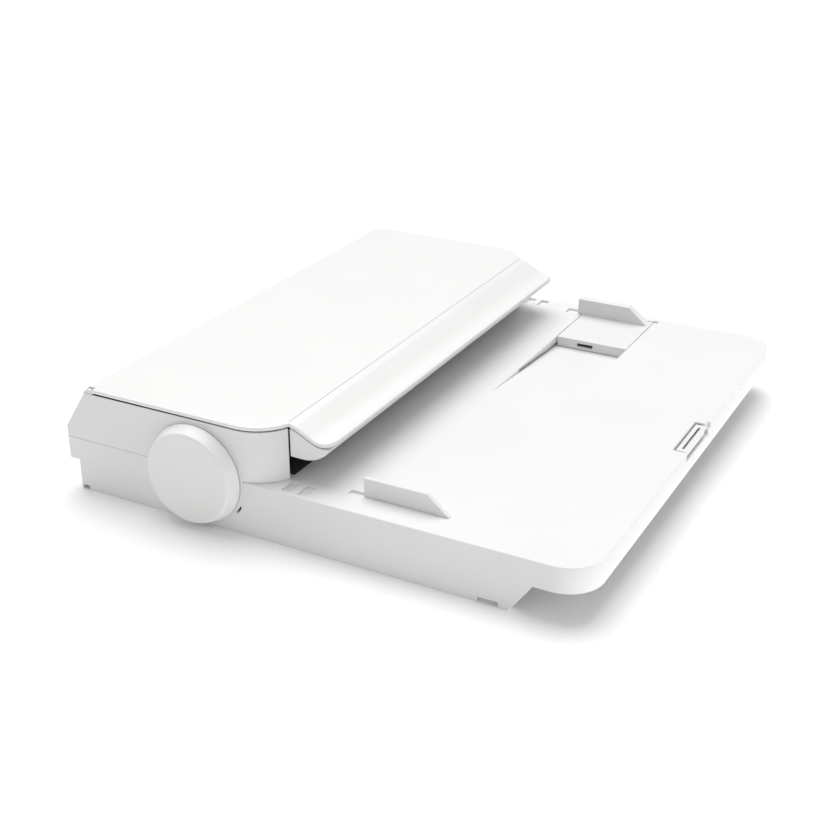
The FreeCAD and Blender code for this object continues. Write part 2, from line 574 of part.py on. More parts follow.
def top_cover():
    sheet_plan = rectangle(("hinge_x", "housing_length"), ("0", "unit_depth"))
    plate = prism("cover_plate", "XY", sheet_plan, "cover_bottom", "cover_top",
                  [("housing_length", "0"), ("housing_length", "unit_depth")], "housing_corner_radius")
    trim = block("cover_trim", ("wing_root", "housing_length + 1"), ("-1", "unit_depth + 1"),
                 ("cover_bottom - 1", "cover_top + 1"))
    wing_outline = wing_line("0") + list(reversed(wing_line("cover_thickness")))
    front, back = "throat_inset", "unit_depth - throat_inset"
    wing = prism("cover_wing", "XZ", wing_outline, front, back,
                 [("wing_tip", front), ("wing_tip", back)], "wing_corner_radius")
    barrel = cross_rod("cover_barrel", "hinge_x", "hinge_z", "barrel_radius", "wall + 0.4",
                       "unit_depth - wall - 0.4")
    web = block("barrel_web", ("hinge_x", "hinge_x + 3"), ("wall + 0.4", "unit_depth - wall - 0.4"),
                ("hinge_z", "cover_bottom + 0.1"))
    tools = [
        cross_rod("barrel_bore_front", "hinge_x", "hinge_z", "hinge_pin_radius + running_clearance", "wall",
                  "hinge_pin_length + 2"),
        cross_rod("barrel_bore_rear", "hinge_x", "hinge_z", "hinge_pin_radius + running_clearance",
                  "unit_depth - hinge_pin_length - 2", "unit_depth - wall"),
        block("ear_notch_front", ("hinge_x - 3", "hinge_x + 2.6"), ("-1", "wall + 0.2"),
              ("hinge_z - 3", "cover_top + 1")),
        block("ear_notch_rear", ("hinge_x - 3", "hinge_x + 2.6"), ("unit_depth - wall - 0.2",
                                                                   "unit_depth + 1"),
              ("hinge_z - 3", "cover_top + 1")),
    ]
    body = fuse("cover_body", cut("cover_plate_cut", plate, trim), wing, barrel, web)
    piece("top_cover", cut("cover_final", body, *tools))


def wing_guide():
    """The hollow lower half of the wing, above the paper entry."""
    top = [(x, z + " - cover_gap") for x, z in wing_line("0")][1:-1]
    start = "(housing_length - 0.2)"
    low = "cover_bottom - wing_guide_depth"
    under = [("wing_tip - 0.8", "cover_bottom - wing_drop - cover_gap - 0.4"),
             ("wing_tip - 1.6", low + " + 4.6"), ("wing_tip - 2.9", low + " + 3.2"),
             ("wing_tip - 5.2", low + " + 1.7"), ("wing_tip - 7.9", low + " + 0.5"),
             ("wing_tip - 11.2", low), (start, low)]
    front, back = "throat_inset", "unit_depth - throat_inset"
    solid = prism("wing_block", "XZ", [(start, top[0][1])] + top + under, front, back)
    inside = [(start + " + 1.6", "cover_bottom + 1"), (start + " + 1.6", low + " + 1.6"),
              ("wing_tip - 11.2", low + " + 1.6"), ("wing_tip - 8.4", low + " + 2.1"),
              ("wing_tip - 6", low + " + 3.4"), ("wing_tip - 4.6", low + " + 4.8"), ("wing_tip - 4.6",
                                                                                     "cover_bottom + 1")]
    hollow = prism("wing_hollow", "XZ", inside, front + " + 1.6", back + " - 1.6")
    piece("wing_guide", cut("wing_guide_cut", solid, hollow))


def arc_shell(name, first, last, front, back):
    """Part of a round shell about the feed roller, between two angles from +X."""
    ring = cut(name + "_ring", cross_rod(name + "_outer", "feed_x", "feed_z", "turn_outer", front, back),
               cross_rod(name + "_inner", "feed_x", "feed_z", "turn_inner", front, back))
    reach = "(turn_outer * 1.6)"
    middle = "(%s + %s) / 2" % (first, last)
    spread = [first, "(%s + %s) / 2" % (first, middle), middle, "(%s + %s) / 2" % (middle, last), last]
    wedge = [("feed_x", "feed_z")]
    wedge += [("feed_x + %s * cos((%s) * 1deg)" % (reach, a), "feed_z + %s * sin((%s) * 1deg)" % (reach,
                                                                                                  a)) for a in spread]
    return common(name + "_arc", ring, prism(name + "_wedge", "XZ", wedge, front, back))


def cover_turn_guide():
    front, back = "frame_inner_front + 1", "frame_inner_rear - 1"
    shell = arc_shell("cover_turn", "76", "140", front, back)
    ribs = []
    for number in range(6):
        y = "(frame_inner_front + 12 + %d * (frame_inner_rear - frame_inner_front - 24) / 5)" % number
        ribs.append(block("turn_rib_%d" % number, ("feed_x - 0.7 * turn_outer", "feed_x + 2"),
                          (y + " - 0.8", y + " + 0.8"), ("feed_z + 0.66 * turn_outer", "cover_bottom")))
    disc = cross_rod("rib_trim", "feed_x", "feed_z", "turn_inner + 0.6", front, back)
    piece("cover_turn_guide", fuse("turn_guide", shell, cut("turn_ribs", fuse("rib_set", *ribs), disc)))


def cover_hooks():
    hooks = []
    for side, y in (("front", "wall + 2"), ("rear", "unit_depth - wall - 5")):
        stem = block("hook_stem_" + side, ("hook_x", "hook_x + 1.6"), (y, y + " + 3"), ("cover_bottom - 7",
                                                                                        "cover_bottom"))
        nose = block("hook_nose_" + side, ("hook_x + 1", "hook_x + 3"), (y, y + " + 3"),
                     ("cover_bottom - 7", "cover_bottom - 5.2"))
        hooks.append(fuse("hook_" + side, stem, nose))
    piece("cover_hooks", group("hook_pair", hooks))


# ---------- knob, feed roller and gears ----------

def jam_knob():
    face = "-knob_proud"
    disc = doc.addObject("Part::Cone", "knob_disc")
    disc.Placement = FreeCAD.Placement(FreeCAD.Vector(), turns["y"])
    for prop, text in (("Placement.Base.x", "feed_x"), ("Placement.Base.y", face), ("Placement.Base.z",
                                                                                    "feed_z"),
                       ("Radius1", "knob_face_radius"), ("Radius2", "knob_radius"), ("Height",
                                                                                     "knob_thickness")):
        bind(disc, prop, text)
    hollow = cross_rod("knob_hollow", "feed_x", "feed_z", "knob_face_radius - knob_wall", face + " + 2.2",
                       "knob_thickness - knob_proud + 1")
    hub = cross_rod("knob_hub", "feed_x", "feed_z", "feed_shaft_radius + 1.8", face + " + 2",
                    "knob_thickness - knob_proud")
    bore = cross_rod("knob_bore", "feed_x", "feed_z", "feed_shaft_radius", face + " + 2.2", "wall")
    doc.recompute()
    rim = doc.addObject("Part::Fillet", "knob_rim")
    rim.Base = disc
    number = [n for n, edge in enumerate(disc.Shape.Edges, 1)
              if edge.BoundBox.YMax < measure(face) + 0.1 and edge.BoundBox.XLength > measure("knob_radius")]
    rim.Edges = [(number[0], measure("knob_rim"), measure("knob_rim"))]
    piece("jam_knob", cut("knob_cut", fuse("knob_body", cut("knob_cup", rim, hollow), hub), bore))
    ring = cut("collar_ring", cross_rod("collar_disc", "feed_x", "feed_z", "collar_radius",
                                        "-collar_thickness", "0"),
               cross_rod("collar_hole", "feed_x", "feed_z", "feed_shaft_radius + 0.5", "-1", "0.1"))
    piece("knob_collar", ring)


def feed_roller():
    front = "2.2 - knob_proud"
    piece("feed_shaft", cross_rod("feed_shaft_rod", "feed_x", "feed_z", "feed_shaft_radius", front,
                                  "shaft_end"))
    piece("feed_tyres", tyres("feed_tyre", "feed_x", "feed_z", "feed_radius", "feed_shaft_radius",
                              ["frame_inner_front + feed_tyre_inset", "roller_front - 4",
                               "frame_inner_rear - feed_tyre_inset - roller_width - 8"], "roller_width + 8"))
    wheel = gear("feed_gear_body", "gear_module", "feed_teeth", "gear_width", "feed_shaft_radius")
    piece("feed_gear", stand(wheel, "feed_x", "gear_layer_b", "feed_z"))


def tyres(name, x, z, radius, bore, starts, width):
    """A row of equal rubber tyres on one shaft."""
    sleeves = []
    for number, start in enumerate(starts):
        end = "(%s) + %s" % (start, width)
        sleeves.append(cut("%s_%d" % (name, number),
                           cross_rod("%s_outer_%d" % (name, number), x, z, radius, start, end),
                           cross_rod("%s_bore_%d" % (name, number), x, z, bore, start, end)))
    return group(name + "_set", sleeves) if len(sleeves) > 1 else sleeves[0]


def gear_train():
    """The compound gear, the idler, the studs they turn on and the motor's pinion."""
    spin = "-compound_spin"
    big = gear("big_wheel", "fine_module", "big_teeth", "fine_gear_width + gear_gap",
               "stud_radius + running_clearance")
    small = gear("small_wheel", "gear_module", "small_teeth", "gear_width",
                 "stud_radius + running_clearance")
    stand(big, "compound_x", "gear_layer_a", "feed_z", spin)
    stand(small, "compound_x", "gear_layer_b", "feed_z", spin)
    piece("compound_gear", fuse("compound_body", big, small))
    idler = gear("idler_wheel", "gear_module", "idler_teeth", "gear_width",
                 "stud_radius + running_clearance")
    piece("idler_gear", stand(idler, "idler_x", "gear_layer_b", "idler_z", "-idler_spin"))
    stud_front = "frame_inner_rear + frame_thickness"
    piece("gear_studs", group("stud_pair", [
        cross_rod("compound_stud", "compound_x", "feed_z", "stud_radius", stud_front, "shaft_end"),
        cross_rod("idler_stud", "idler_x", "idler_z", "stud_radius", stud_front, "shaft_end"),
    ]))
    pinion = gear("pinion_wheel", "fine_module", "pinion_teeth", "fine_gear_width", "motor_shaft_radius")
    piece("motor_pinion", stand(pinion, "motor_x", "gear_layer_a", "feed_z", "-pinion_spin"))
    piece("motor_shaft", cross_rod("motor_shaft_rod", "motor_x", "feed_z", "motor_shaft_radius",
                                   "frame_inner_rear - motor_flange - motor_length + 2", "gear_layer_a + fine_gear_width"))


def feed_motor():
    front = "(frame_inner_rear - motor_flange - motor_length)"
    can = cross_rod("motor_can", "motor_x", "feed_z", "motor_radius", front,
                    "frame_inner_rear - motor_flange")
    ears = block("motor_ears", ("motor_x - motor_radius - 4", "motor_x + motor_radius + 4"),
                 ("frame_inner_rear - motor_flange", "frame_inner_rear"), ("feed_z - 4", "feed_z + 4"))
    disc = cross_rod("motor_disc", "motor_x", "feed_z", "motor_radius",
                     "frame_inner_rear - motor_flange - 0.1",
                     "frame_inner_rear")
    bore = cross_rod("motor_bore", "motor_x", "feed_z", "motor_shaft_radius + running_clearance",
                     front + " + 2",
                     "frame_inner_rear + 1")
    piece("feed_motor", cut("motor_cut", fuse("motor_body", can, ears, disc), bore))


def drive_shaft_set():
    """The shaft above the feed roller, its separation roller, pulley and gear."""
    piece("drive_shaft", cross_rod("drive_rod", "drive_x", "drive_z", "drive_shaft_radius",
                                   "module_front - 4",
                                   "shaft_end"))
    piece("separation_roller", tyres("separation_tyre", "drive_x", "drive_z", "separation_radius",
                                     "drive_shaft_radius", ["roller_front"], "roller_width"))
    wheel = gear("drive_wheel", "gear_module", "drive_teeth", "gear_width", "drive_shaft_radius")
    piece("drive_gear", stand(wheel, "drive_x", "gear_layer_b", "drive_z", "-drive_spin"))
    piece("drive_pulley", tyres("drive_pulley_ring", "drive_x", "drive_z", "pulley_radius",
                                "drive_shaft_radius",
                                ["roller_front + roller_width + 1"], "pulley_width"))


def along_arm(name, start_radius, end_radius, front, back):
    """A round-ended link from the drive shaft to the pick-up shaft."""
    slope = "arm_drop_angle * 1deg"
    ends = [cross_rod(name + "_near", "drive_x", "drive_z", start_radius, front, back),
            cross_rod(name + "_far", "pickup_x", "pickup_z", end_radius, front, back)]
    corners = []
    for x, z, radius, sign in (("drive_x", "drive_z", start_radius, "+"), ("pickup_x", "pickup_z",
                                                                           end_radius, "+"),
                               ("pickup_x", "pickup_z", end_radius, "-"), ("drive_x", "drive_z",
                                                                           start_radius, "-")):
        corners.append(("%s %s (%s) * sin(%s)" % (x, sign, radius, slope),
                        "%s %s (%s) * cos(%s)" % (z, sign, radius, slope)))
    return fuse(name, *ends, prism(name + "_web", "XZ", corners, front, back))


def pickup_module():
    near, far = "drive_shaft_radius + 1.6", "3.2"
    cheeks = []
    for side, y in (("front", "module_front"), ("rear", "module_end - cheek_thickness")):
        cheeks.append(along_arm("cheek_" + side, near, far, y, y + " + cheek_thickness"))
    bridge = block("arm_bridge", ("drive_x + 9.2", "pickup_x - pickup_radius - 1.3"), ("module_front",
                                                                                       "module_end"),
                   ("drive_z - 3.8", "drive_z - 1.2"))
    bores = [
        cross_rod("arm_bore_near", "drive_x", "drive_z", "drive_shaft_radius + running_clearance",
                  "module_front - 1", "module_end + 1"),
        cross_rod("arm_bore_far", "pickup_x", "pickup_z", "stud_radius / 2 + 0.5 + running_clearance",
                  "module_front - 1", "module_end + 1"),
    ]
    piece("pickup_arm", cut("arm_cut", fuse("arm_body", *cheeks, bridge), *bores))
    belt_front = "(roller_front + roller_width + 1.4)"
    belt_back = "(roller_front + roller_width + pulley_width + 0.6)"
    outer = along_arm("belt_outer", "pulley_radius + 0.1 + belt_thickness",
                      "pulley_radius + 0.1 + belt_thickness",
                      belt_front, belt_back)
    inner = along_arm("belt_inner", "pulley_radius + 0.1", "pulley_radius + 0.1", belt_front + " - 1",
                      belt_back + " + 1")
    piece("pickup_belt", cut("belt_cut", outer, inner))
    piece("pickup_shaft", cross_rod("pickup_rod", "pickup_x", "pickup_z", "stud_radius / 2 + 0.5",
                                    "module_front",
                                    "module_end"))
    piece("pickup_roller", tyres("pickup_tyre", "pickup_x", "pickup_z", "pickup_radius",
                                 "stud_radius / 2 + 0.5",
                                 ["roller_front"], "roller_width"))
    piece("pickup_pulley", tyres("pickup_pulley_ring", "pickup_x", "pickup_z", "pulley_radius",
                                 "stud_radius / 2 + 0.5", ["roller_front + roller_width + 1"], "pulley_width"))


def separation_pad():
    front, back = "(module_front - 8)", "(module_end + 8)"
    corners = [("drive_x - 0.7", "holder_top - holder_thickness"), ("drive_x - 0.7", "holder_top"),
               ("pad_pivot_x - 1.2", "holder_top"), ("pad_pivot_x + 0.6", "pad_pivot_z + 1"),
               ("pad_pivot_x - 1", "pad_pivot_z"), ("pad_pivot_x - 2.4", "holder_top - holder_thickness")]
    plate = prism("holder_plate", "XZ", corners, front + " + 4", back + " - 4")
    barrel = cross_rod("holder_barrel", "pad_pivot_x", "pad_pivot_z", "1.5", front + " + 4", back + " - 4")
    trunnion = cross_rod("holder_trunnion", "pad_pivot_x", "pad_pivot_z", "1", front, back)
    piece("pad_holder", fuse("holder_body", plate, barrel, trunnion))
    piece("friction_pad", block("friction_pad_block", ("drive_x - 0.2", "drive_x + 6"),
                                ("roller_front - 3", "roller_front + roller_width + 3"), ("holder_top",
                                                                                          "pad_top")))
    spring_x, spring_y = "drive_x + 5.6", "roller_front + roller_width / 2"
    tube = [rod("spring_tube", "z", (spring_x, spring_y, "seam_height"), "2",
                "holder_top - holder_thickness - seam_height"),
            rod("spring_core", "z", (spring_x, spring_y, "seam_height - 1"), "1.4", "8")]
    piece("pad_spring", cut("spring_cut", *tube))
    ramp = prism("ramp_wedge", "XZ", [("ramp_start", "seam_height"), ("ramp_start - ramp_length",
                                                                      "seam_height + ramp_height"),
                                      ("ramp_start - ramp_length", "seam_height")],
                 "frame_inner_front + 1.5", "frame_inner_rear - 1.5")
    windows = [
        block("ramp_window", ("ramp_start - ramp_length - 1", "ramp_start - ramp_length + 3.4"),
              (front + " + 3.5", back + " - 3.5"), ("seam_height - 1", "seam_height + ramp_height + 1")),
        cross_rod("trunnion_hole", "pad_pivot_x", "pad_pivot_z", "1 + running_clearance", front + " - 0.2",
                  back + " + 0.2"),
        block("ramp_flag_slot", ("flag_x - 6.5", "flag_x + 6.5"), ("flag_front - 0.6",
                                                                   "flag_front + flag_width + 0.6"),
              ("seam_height - 1", "seam_height + ramp_height + 1")),
    ]
    piece("entry_ramp", cut("ramp_cut", ramp, *windows))


def sensor_flag():
    front, back = "flag_front", "flag_front + flag_width"
    barrel = cross_rod("flag_barrel", "flag_x", "flag_z", "flag_barrel_radius", front, back)
    tip = prism("flag_tip", "XZ", [("flag_x - 1.4", "flag_z"), ("flag_x + 1.4", "flag_z"),
                                   ("flag_x + 0.9", "flag_z + flag_reach"), ("flag_x - 0.5",
                                                                             "flag_z + flag_reach")],
                front, back)
    bore = cross_rod("flag_bore", "flag_x", "flag_z", "flag_pin_radius + running_clearance", front + " - 1",
                     back + " + 1")
    piece("sensor_flag", cut("flag_cut", fuse("flag_body", barrel, tip), bore))
    piece("flag_pin", cross_rod("flag_pin_rod", "flag_x", "flag_z", "flag_pin_radius", "flag_front - 3",
                                "flag_front + flag_width + 3"))


exit_starts = [
    "(frame_inner_front + exit_tyre_inset)",
    "((frame_inner_front + frame_inner_rear - exit_roller_width) / 2)",
    "(frame_inner_rear - exit_tyre_inset - exit_roller_width)",
]


def exit_rollers():
    front = "frame_inner_front - frame_thickness - 1"
    piece("exit_shaft", cross_rod("exit_rod", "exit_x", "exit_z", "exit_shaft_radius", front, "shaft_end"))
    piece("exit_tyres", tyres("exit_tyre", "exit_x", "exit_z", "exit_radius", "exit_shaft_radius",
                              exit_starts,
                              "exit_roller_width"))
    wheel = gear("exit_wheel", "gear_module", "exit_teeth", "gear_width", "exit_shaft_radius")
    piece("exit_gear", stand(wheel, "exit_x", "gear_layer_b", "exit_z", "-exit_spin"))
    piece("pinch_axle", cross_rod("pinch_rod", "exit_x", "pinch_z", "pinch_axle_radius", front,
                                  "frame_inner_rear + frame_thickness"))
    piece("pinch_wheels", tyres("pinch_wheel", "exit_x", "pinch_z", "pinch_radius", "pinch_axle_radius",
                                exit_starts,
                                "exit_roller_width"))


# ---------- frames, lower guide and pan ----------

def screw_places(side):
    """The two pan screws under one frame's flange."""
    y = "frame_inner_front + flange_width / 2" if side == "front" else "frame_inner_rear - flange_width / 2"
    return [("flange_start + screw_inset", y), ("flange_start + flange_length - screw_inset", y)]


def side_frames():
    plan = [("frame_start", "frame_bottom"), ("frame_end", "frame_bottom"), ("frame_end",
                                                                             "tray_skin - 0.3"),
            ("frame_upper_end", "tray_skin - 0.3"), ("frame_upper_end", "seam_height + 9"),
            ("frame_upper_end - 9", "frame_top"), ("frame_start + 13", "frame_top"), ("frame_start",
                                                                                      "bevel_foot + 1")]
    for side, y, foot in (("front", ("frame_inner_front - frame_thickness", "frame_inner_front"),
                           ("frame_inner_front - 0.1", "frame_inner_front + flange_width")),
                          ("rear", ("frame_inner_rear", "frame_inner_rear + frame_thickness"),
                           ("frame_inner_rear - flange_width", "frame_inner_rear + 0.1"))):
        plate = prism("frame_plate_" + side, "XZ", plan, *y)
        flange = block("frame_flange_" + side, ("flange_start", "flange_start + flange_length"), foot,
                       ("frame_bottom", "frame_bottom + flange_thickness"))
        holes = []
        for hole, x, z, radius in (("feed", "feed_x", "feed_z", "feed_shaft_radius + running_clearance"),
                                   ("drive", "drive_x", "drive_z",
                                    "drive_shaft_radius + running_clearance"),
                                   ("exit", "exit_x", "exit_z", "exit_shaft_radius + running_clearance"),
                                   ("pinch", "exit_x", "pinch_z", "pinch_axle_radius + running_clearance"),
                                   ("motor", "motor_x", "feed_z", "motor_shaft_radius + 3")):
            if side == "front" and hole in ("motor", "drive"):
                continue
            holes.append(cross_rod("frame_hole_%s_%s" % (side, hole), x, z, radius, y[0] + " - 1",
                                   y[1] + " + 1"))
        for number, (x, y_screw) in enumerate(screw_places(side)):
            holes.append(rod("flange_hole_%s_%d" % (side, number), "z", (x, y_screw, "frame_bottom - 1"),
                             "screw_radius", "flange_thickness + 2"))
        piece(side + "_frame", cut(side + "_frame_cut", fuse(side + "_frame_body", plate, flange), *holes))


def lower_guide():
    front, back = "frame_inner_front + 0.3", "frame_inner_rear - 0.3"
    shell = arc_shell("lower_turn", "148", "275", front, back)
    low = "(feed_z - turn_inner)"
    end = "(exit_x - pinch_radius - 1.4)"
    top = "(pinch_z + pinch_radius - 0.1)"
    flat = prism("lower_flat", "XZ", [("feed_x - 0.5", low), (end, top), (end, top + " - guide_shell"),
                                      ("feed_x - 0.5", low + " - guide_shell")], front, back)
    slot = block("scan_slot", ("scan_slot_start", "scan_slot_start + scan_slot_width"),
                 (front + " + 6", back + " - 6"), ("pan_top", "feed_z - feed_radius"))
    piece("lower_guide", cut("lower_guide_cut", fuse("lower_guide_body", shell, flat), slot))
    piece("scan_backing_bar", block("backing_block", ("scan_slot_start - 1.5",
                                                      "scan_slot_start + scan_slot_width + 1"),
                                    ("frame_inner_front", "frame_inner_rear"),
                                    ("feed_z - turn_inner + 0.2", "feed_z - turn_inner + 1.6")))


def base_pan():
    plan_x = ("side_step + wall + 0.2", "exit_x + 6")
    plan_y = ("wall + 0.2", "unit_depth - wall - 0.2")
    pan = block("pan_block", plan_x, plan_y, ("foot_height", "pan_top"))
    holes = [block("pan_scan_slot", ("scan_slot_start - 0.5", "scan_slot_start + scan_slot_width + 0.5"),
                   ("frame_inner_front + 6", "frame_inner_rear - 6"), ("foot_height - 1", "pan_top + 1"))]
    for number, start in enumerate(exit_starts):
        holes.append(block("pinch_window_%d" % number, ("exit_x - pinch_radius - 0.8",
                                                        "exit_x + pinch_radius + 0.8"),
                           (start + " - 1", start + " + exit_roller_width + 1"), ("foot_height - 1",
                                                                                  "pan_top + 1")))
    for side, y in (("front", "wall + boss_radius - 0.4"), ("rear",
                                                            "unit_depth - wall - boss_radius + 0.4")):
        holes.append(rod("pan_boss_hole_" + side, "z", ("boss_left", y, "0"),
                         "boss_radius + panel_clearance", "4"))
    screws = []
    for side in ("front", "rear"):
        for number, (x, y) in enumerate(screw_places(side)):
            holes.append(rod("pan_hole_%s_%d" % (side, number), "z", (x, y, "0"), "screw_radius + 0.1",
                             "4"))
            head = rod("screw_head_%s_%d" % (side, number), "z", (x, y, "foot_height - 0.9"),
                       "screw_head_radius",
                       "0.9")
            shank = rod("screw_shank_%s_%d" % (side, number), "z", (x, y, "foot_height - 0.1"),
                        "screw_radius",
                        "pan_thickness + flange_thickness + 1")
            screws.append(fuse("pan_screw_%s_%d" % (side, number), head, shank))
    piece("base_pan", cut("pan_cut", pan, *holes))
    piece("pan_screws", group("pan_screw_set", screws))
    feet = []
    for x in ("side_step + foot_inset_x", "side_step + foot_inset_x + foot_spacing"):
        for y in ("foot_inset_y", "unit_depth - foot_inset_y"):
            feet.append(rod("foot_%d" % len(feet), "z", (x, y, "0"), "foot_radius", "foot_height"))
    piece("rubber_feet", group("foot_set", feet))
    piece("drive_board", block("board_block", ("flange_start + 2", "flange_start + 32"),
                               ("frame_inner_rear - board_inset - 28", "frame_inner_rear - board_inset"),
                               ("pan_top", "pan_top + 1.6")))
    piece("board_socket", block("socket_block", ("flange_start + 5", "flange_start + 11"),
                                ("frame_inner_rear - board_inset - 22",
                                 "frame_inner_rear - board_inset - 6"),
                                ("pan_top + 1.6", "pan_top + 8")))


# ---------- writing ----------

def check_and_write():
    doc.recompute()
    for item in doc.Objects:
        if "Invalid" in item.State or "Error" in item.State:
            raise RuntimeError("%s failed: %s" % (item.Name, item.State))
    os.makedirs("parts", exist_ok=True)
    for node, shape in parts:
        if shape.Shape.isNull() or not shape.Shape.isValid():
            raise RuntimeError(node + " has no valid shape")
        shape.Shape.exportStep("parts/%s.step" % node)
        print("%-20s solids %d volume %9.1f" % (node, len(shape.Shape.Solids), shape.Shape.Volume))


base_tray()
tray_under_cover()
front_paper_guide()
rear_paper_guide()
paper_stop()
feeder_housing()
hinge_pins()
top_cover()
wing_guide()
cover_turn_guide()
cover_hooks()
jam_knob()
feed_roller()
gear_train()
feed_motor()
drive_shaft_set()
pickup_module()
separation_pad()
sensor_flag()
exit_rollers()
side_frames()
lower_guide()
base_pan()
check_and_write()
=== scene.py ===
import math
import bpy
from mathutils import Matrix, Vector


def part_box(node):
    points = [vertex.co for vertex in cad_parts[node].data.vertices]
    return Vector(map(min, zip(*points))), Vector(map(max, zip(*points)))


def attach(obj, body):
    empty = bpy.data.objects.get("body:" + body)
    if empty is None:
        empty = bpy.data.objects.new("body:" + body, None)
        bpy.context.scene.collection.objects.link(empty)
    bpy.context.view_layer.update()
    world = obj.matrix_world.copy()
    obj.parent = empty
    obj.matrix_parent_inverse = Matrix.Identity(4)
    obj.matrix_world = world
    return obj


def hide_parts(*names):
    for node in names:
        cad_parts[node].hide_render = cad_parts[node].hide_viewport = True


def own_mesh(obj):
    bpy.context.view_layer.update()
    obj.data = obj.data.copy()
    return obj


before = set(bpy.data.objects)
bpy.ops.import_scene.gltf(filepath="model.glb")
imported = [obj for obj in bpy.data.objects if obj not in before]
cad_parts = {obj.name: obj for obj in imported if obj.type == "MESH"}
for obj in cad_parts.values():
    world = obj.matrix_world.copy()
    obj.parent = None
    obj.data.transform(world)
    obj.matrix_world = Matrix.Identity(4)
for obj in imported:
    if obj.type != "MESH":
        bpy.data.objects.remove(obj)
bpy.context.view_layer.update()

trayLow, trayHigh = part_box("base_tray")
print("frame loaded")


# ---- small helpers, used by every piece

def spot(x, y, z):
    # millimetres from the tray's closed front corner, and up from the floor
    return Vector((trayLow.x + x / 1000, trayLow.y + y / 1000, z / 1000))


def clearSelection():
    if bpy.context.object and bpy.context.object.mode != "OBJECT":
        bpy.ops.object.mode_set(mode="OBJECT")
    bpy.ops.object.select_all(action="DESELECT")


def pick(piece):
    clearSelection()
    piece.select_set(True)
    bpy.context.view_layer.objects.active = piece


def editAll(piece):
    pick(piece)
    bpy.ops.object.mode_set(mode="EDIT")
    bpy.ops.mesh.select_all(action="SELECT")


def chooseCorners(piece, wanted):
    # leaves the piece in edit mode with only the wanted corners picked
    editAll(piece)
    bpy.ops.mesh.select_mode(type="VERT")
    bpy.ops.mesh.select_all(action="DESELECT")
    bpy.ops.object.mode_set(mode="OBJECT")
    for vertex in piece.data.vertices:
        vertex.select = wanted(vertex.co)
    bpy.ops.object.mode_set(mode="EDIT")


def applyModifiers(piece):
    pick(piece)
    for modifier in list(piece.modifiers):
        bpy.ops.object.modifier_apply(modifier=modifier.name)


def soften(piece, width, steps=2, sharpest=32):
    # rounds every edge that turns more than the given angle, then shades the rest smooth
    if width:
        rounding = piece.modifiers.new("rounding", "BEVEL")
        rounding.width = width / 1000
        rounding.segments = steps
        rounding.limit_method = "ANGLE"
        rounding.angle_limit = math.radians(sharpest)
        rounding.use_clamp_overlap = False
        rounding.miter_outer = "MITER_ARC"
        rounding.harden_normals = False
        applyModifiers(piece)
    pick(piece)
    bpy.ops.object.shade_smooth_by_angle(angle=math.radians(sharpest))
    flats = piece.modifiers.new("flats", "WEIGHTED_NORMAL")  # keeps the big faces flat beside their rounded edges
    flats.keep_sharp = True
    flats.weight = 80
    applyModifiers(piece)


def partCopy(nodeName, width=0.2, steps=2, sharpest=32):
    # a merged copy of a finished part, with its edges rounded as a mould leaves them
    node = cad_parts[nodeName]
    piece = node.copy()
    piece.data = node.data.copy()
    piece.parent = None
    for word in list(piece.keys()):
        if word.startswith("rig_"):
            del piece[word]
    piece.name = nodeName + "_shown"
    bpy.context.scene.collection.objects.link(piece)
    editAll(piece)
    bpy.ops.mesh.remove_doubles(threshold=0.000002)
    bpy.ops.mesh.dissolve_limited(angle_limit=math.radians(0.4))
    bpy.ops.object.mode_set(mode="OBJECT")
    soften(piece, width, steps, sharpest)
    return piece


def finishPiece(piece, body, slotName, material, *standsFor):
    piece.data.materials.clear()
    piece.data.materials.append(material)
    for face in piece.data.polygons:
        face.material_index = 0
    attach(piece, body)
    if standsFor:
        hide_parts(*standsFor)
    return piece


# ---- finishes

def toLinear(hexColour):
    parts = [int(hexColour[i:i + 2], 16) / 255 for i in (1, 3, 5)]
    return [*(p / 12.92 if p <= 0.04045 else ((p + 0.055) / 1.055) ** 2.4 for p in parts), 1.0]


def addNode(material, kind, settings=None, links=None):
    node = material.node_tree.nodes.new(kind)
    for name, value in (settings or {}).items():
        if isinstance(name, int) or name in node.inputs:
            node.inputs[name].default_value = value
        else:
            setattr(node, name, value)
    for name, source in (links or {}).items():
        material.node_tree.links.new(source, node.inputs[name])
    return node


def newFinish(name, sockets):
    material = bpy.data.materials.new(name)
    material.use_nodes = True
    shader = material.node_tree.nodes["Principled BSDF"]
    for socket, value in sockets.items():
        shader.inputs[socket].default_value = value
    place = addNode(material, "ShaderNodeTexCoord")
    return material, shader, place.outputs["Object"]


def feed(material, shader, **sockets):
    for socket, source in sockets.items():
        material.node_tree.links.new(source, shader.inputs[socket.replace("_", " ")])


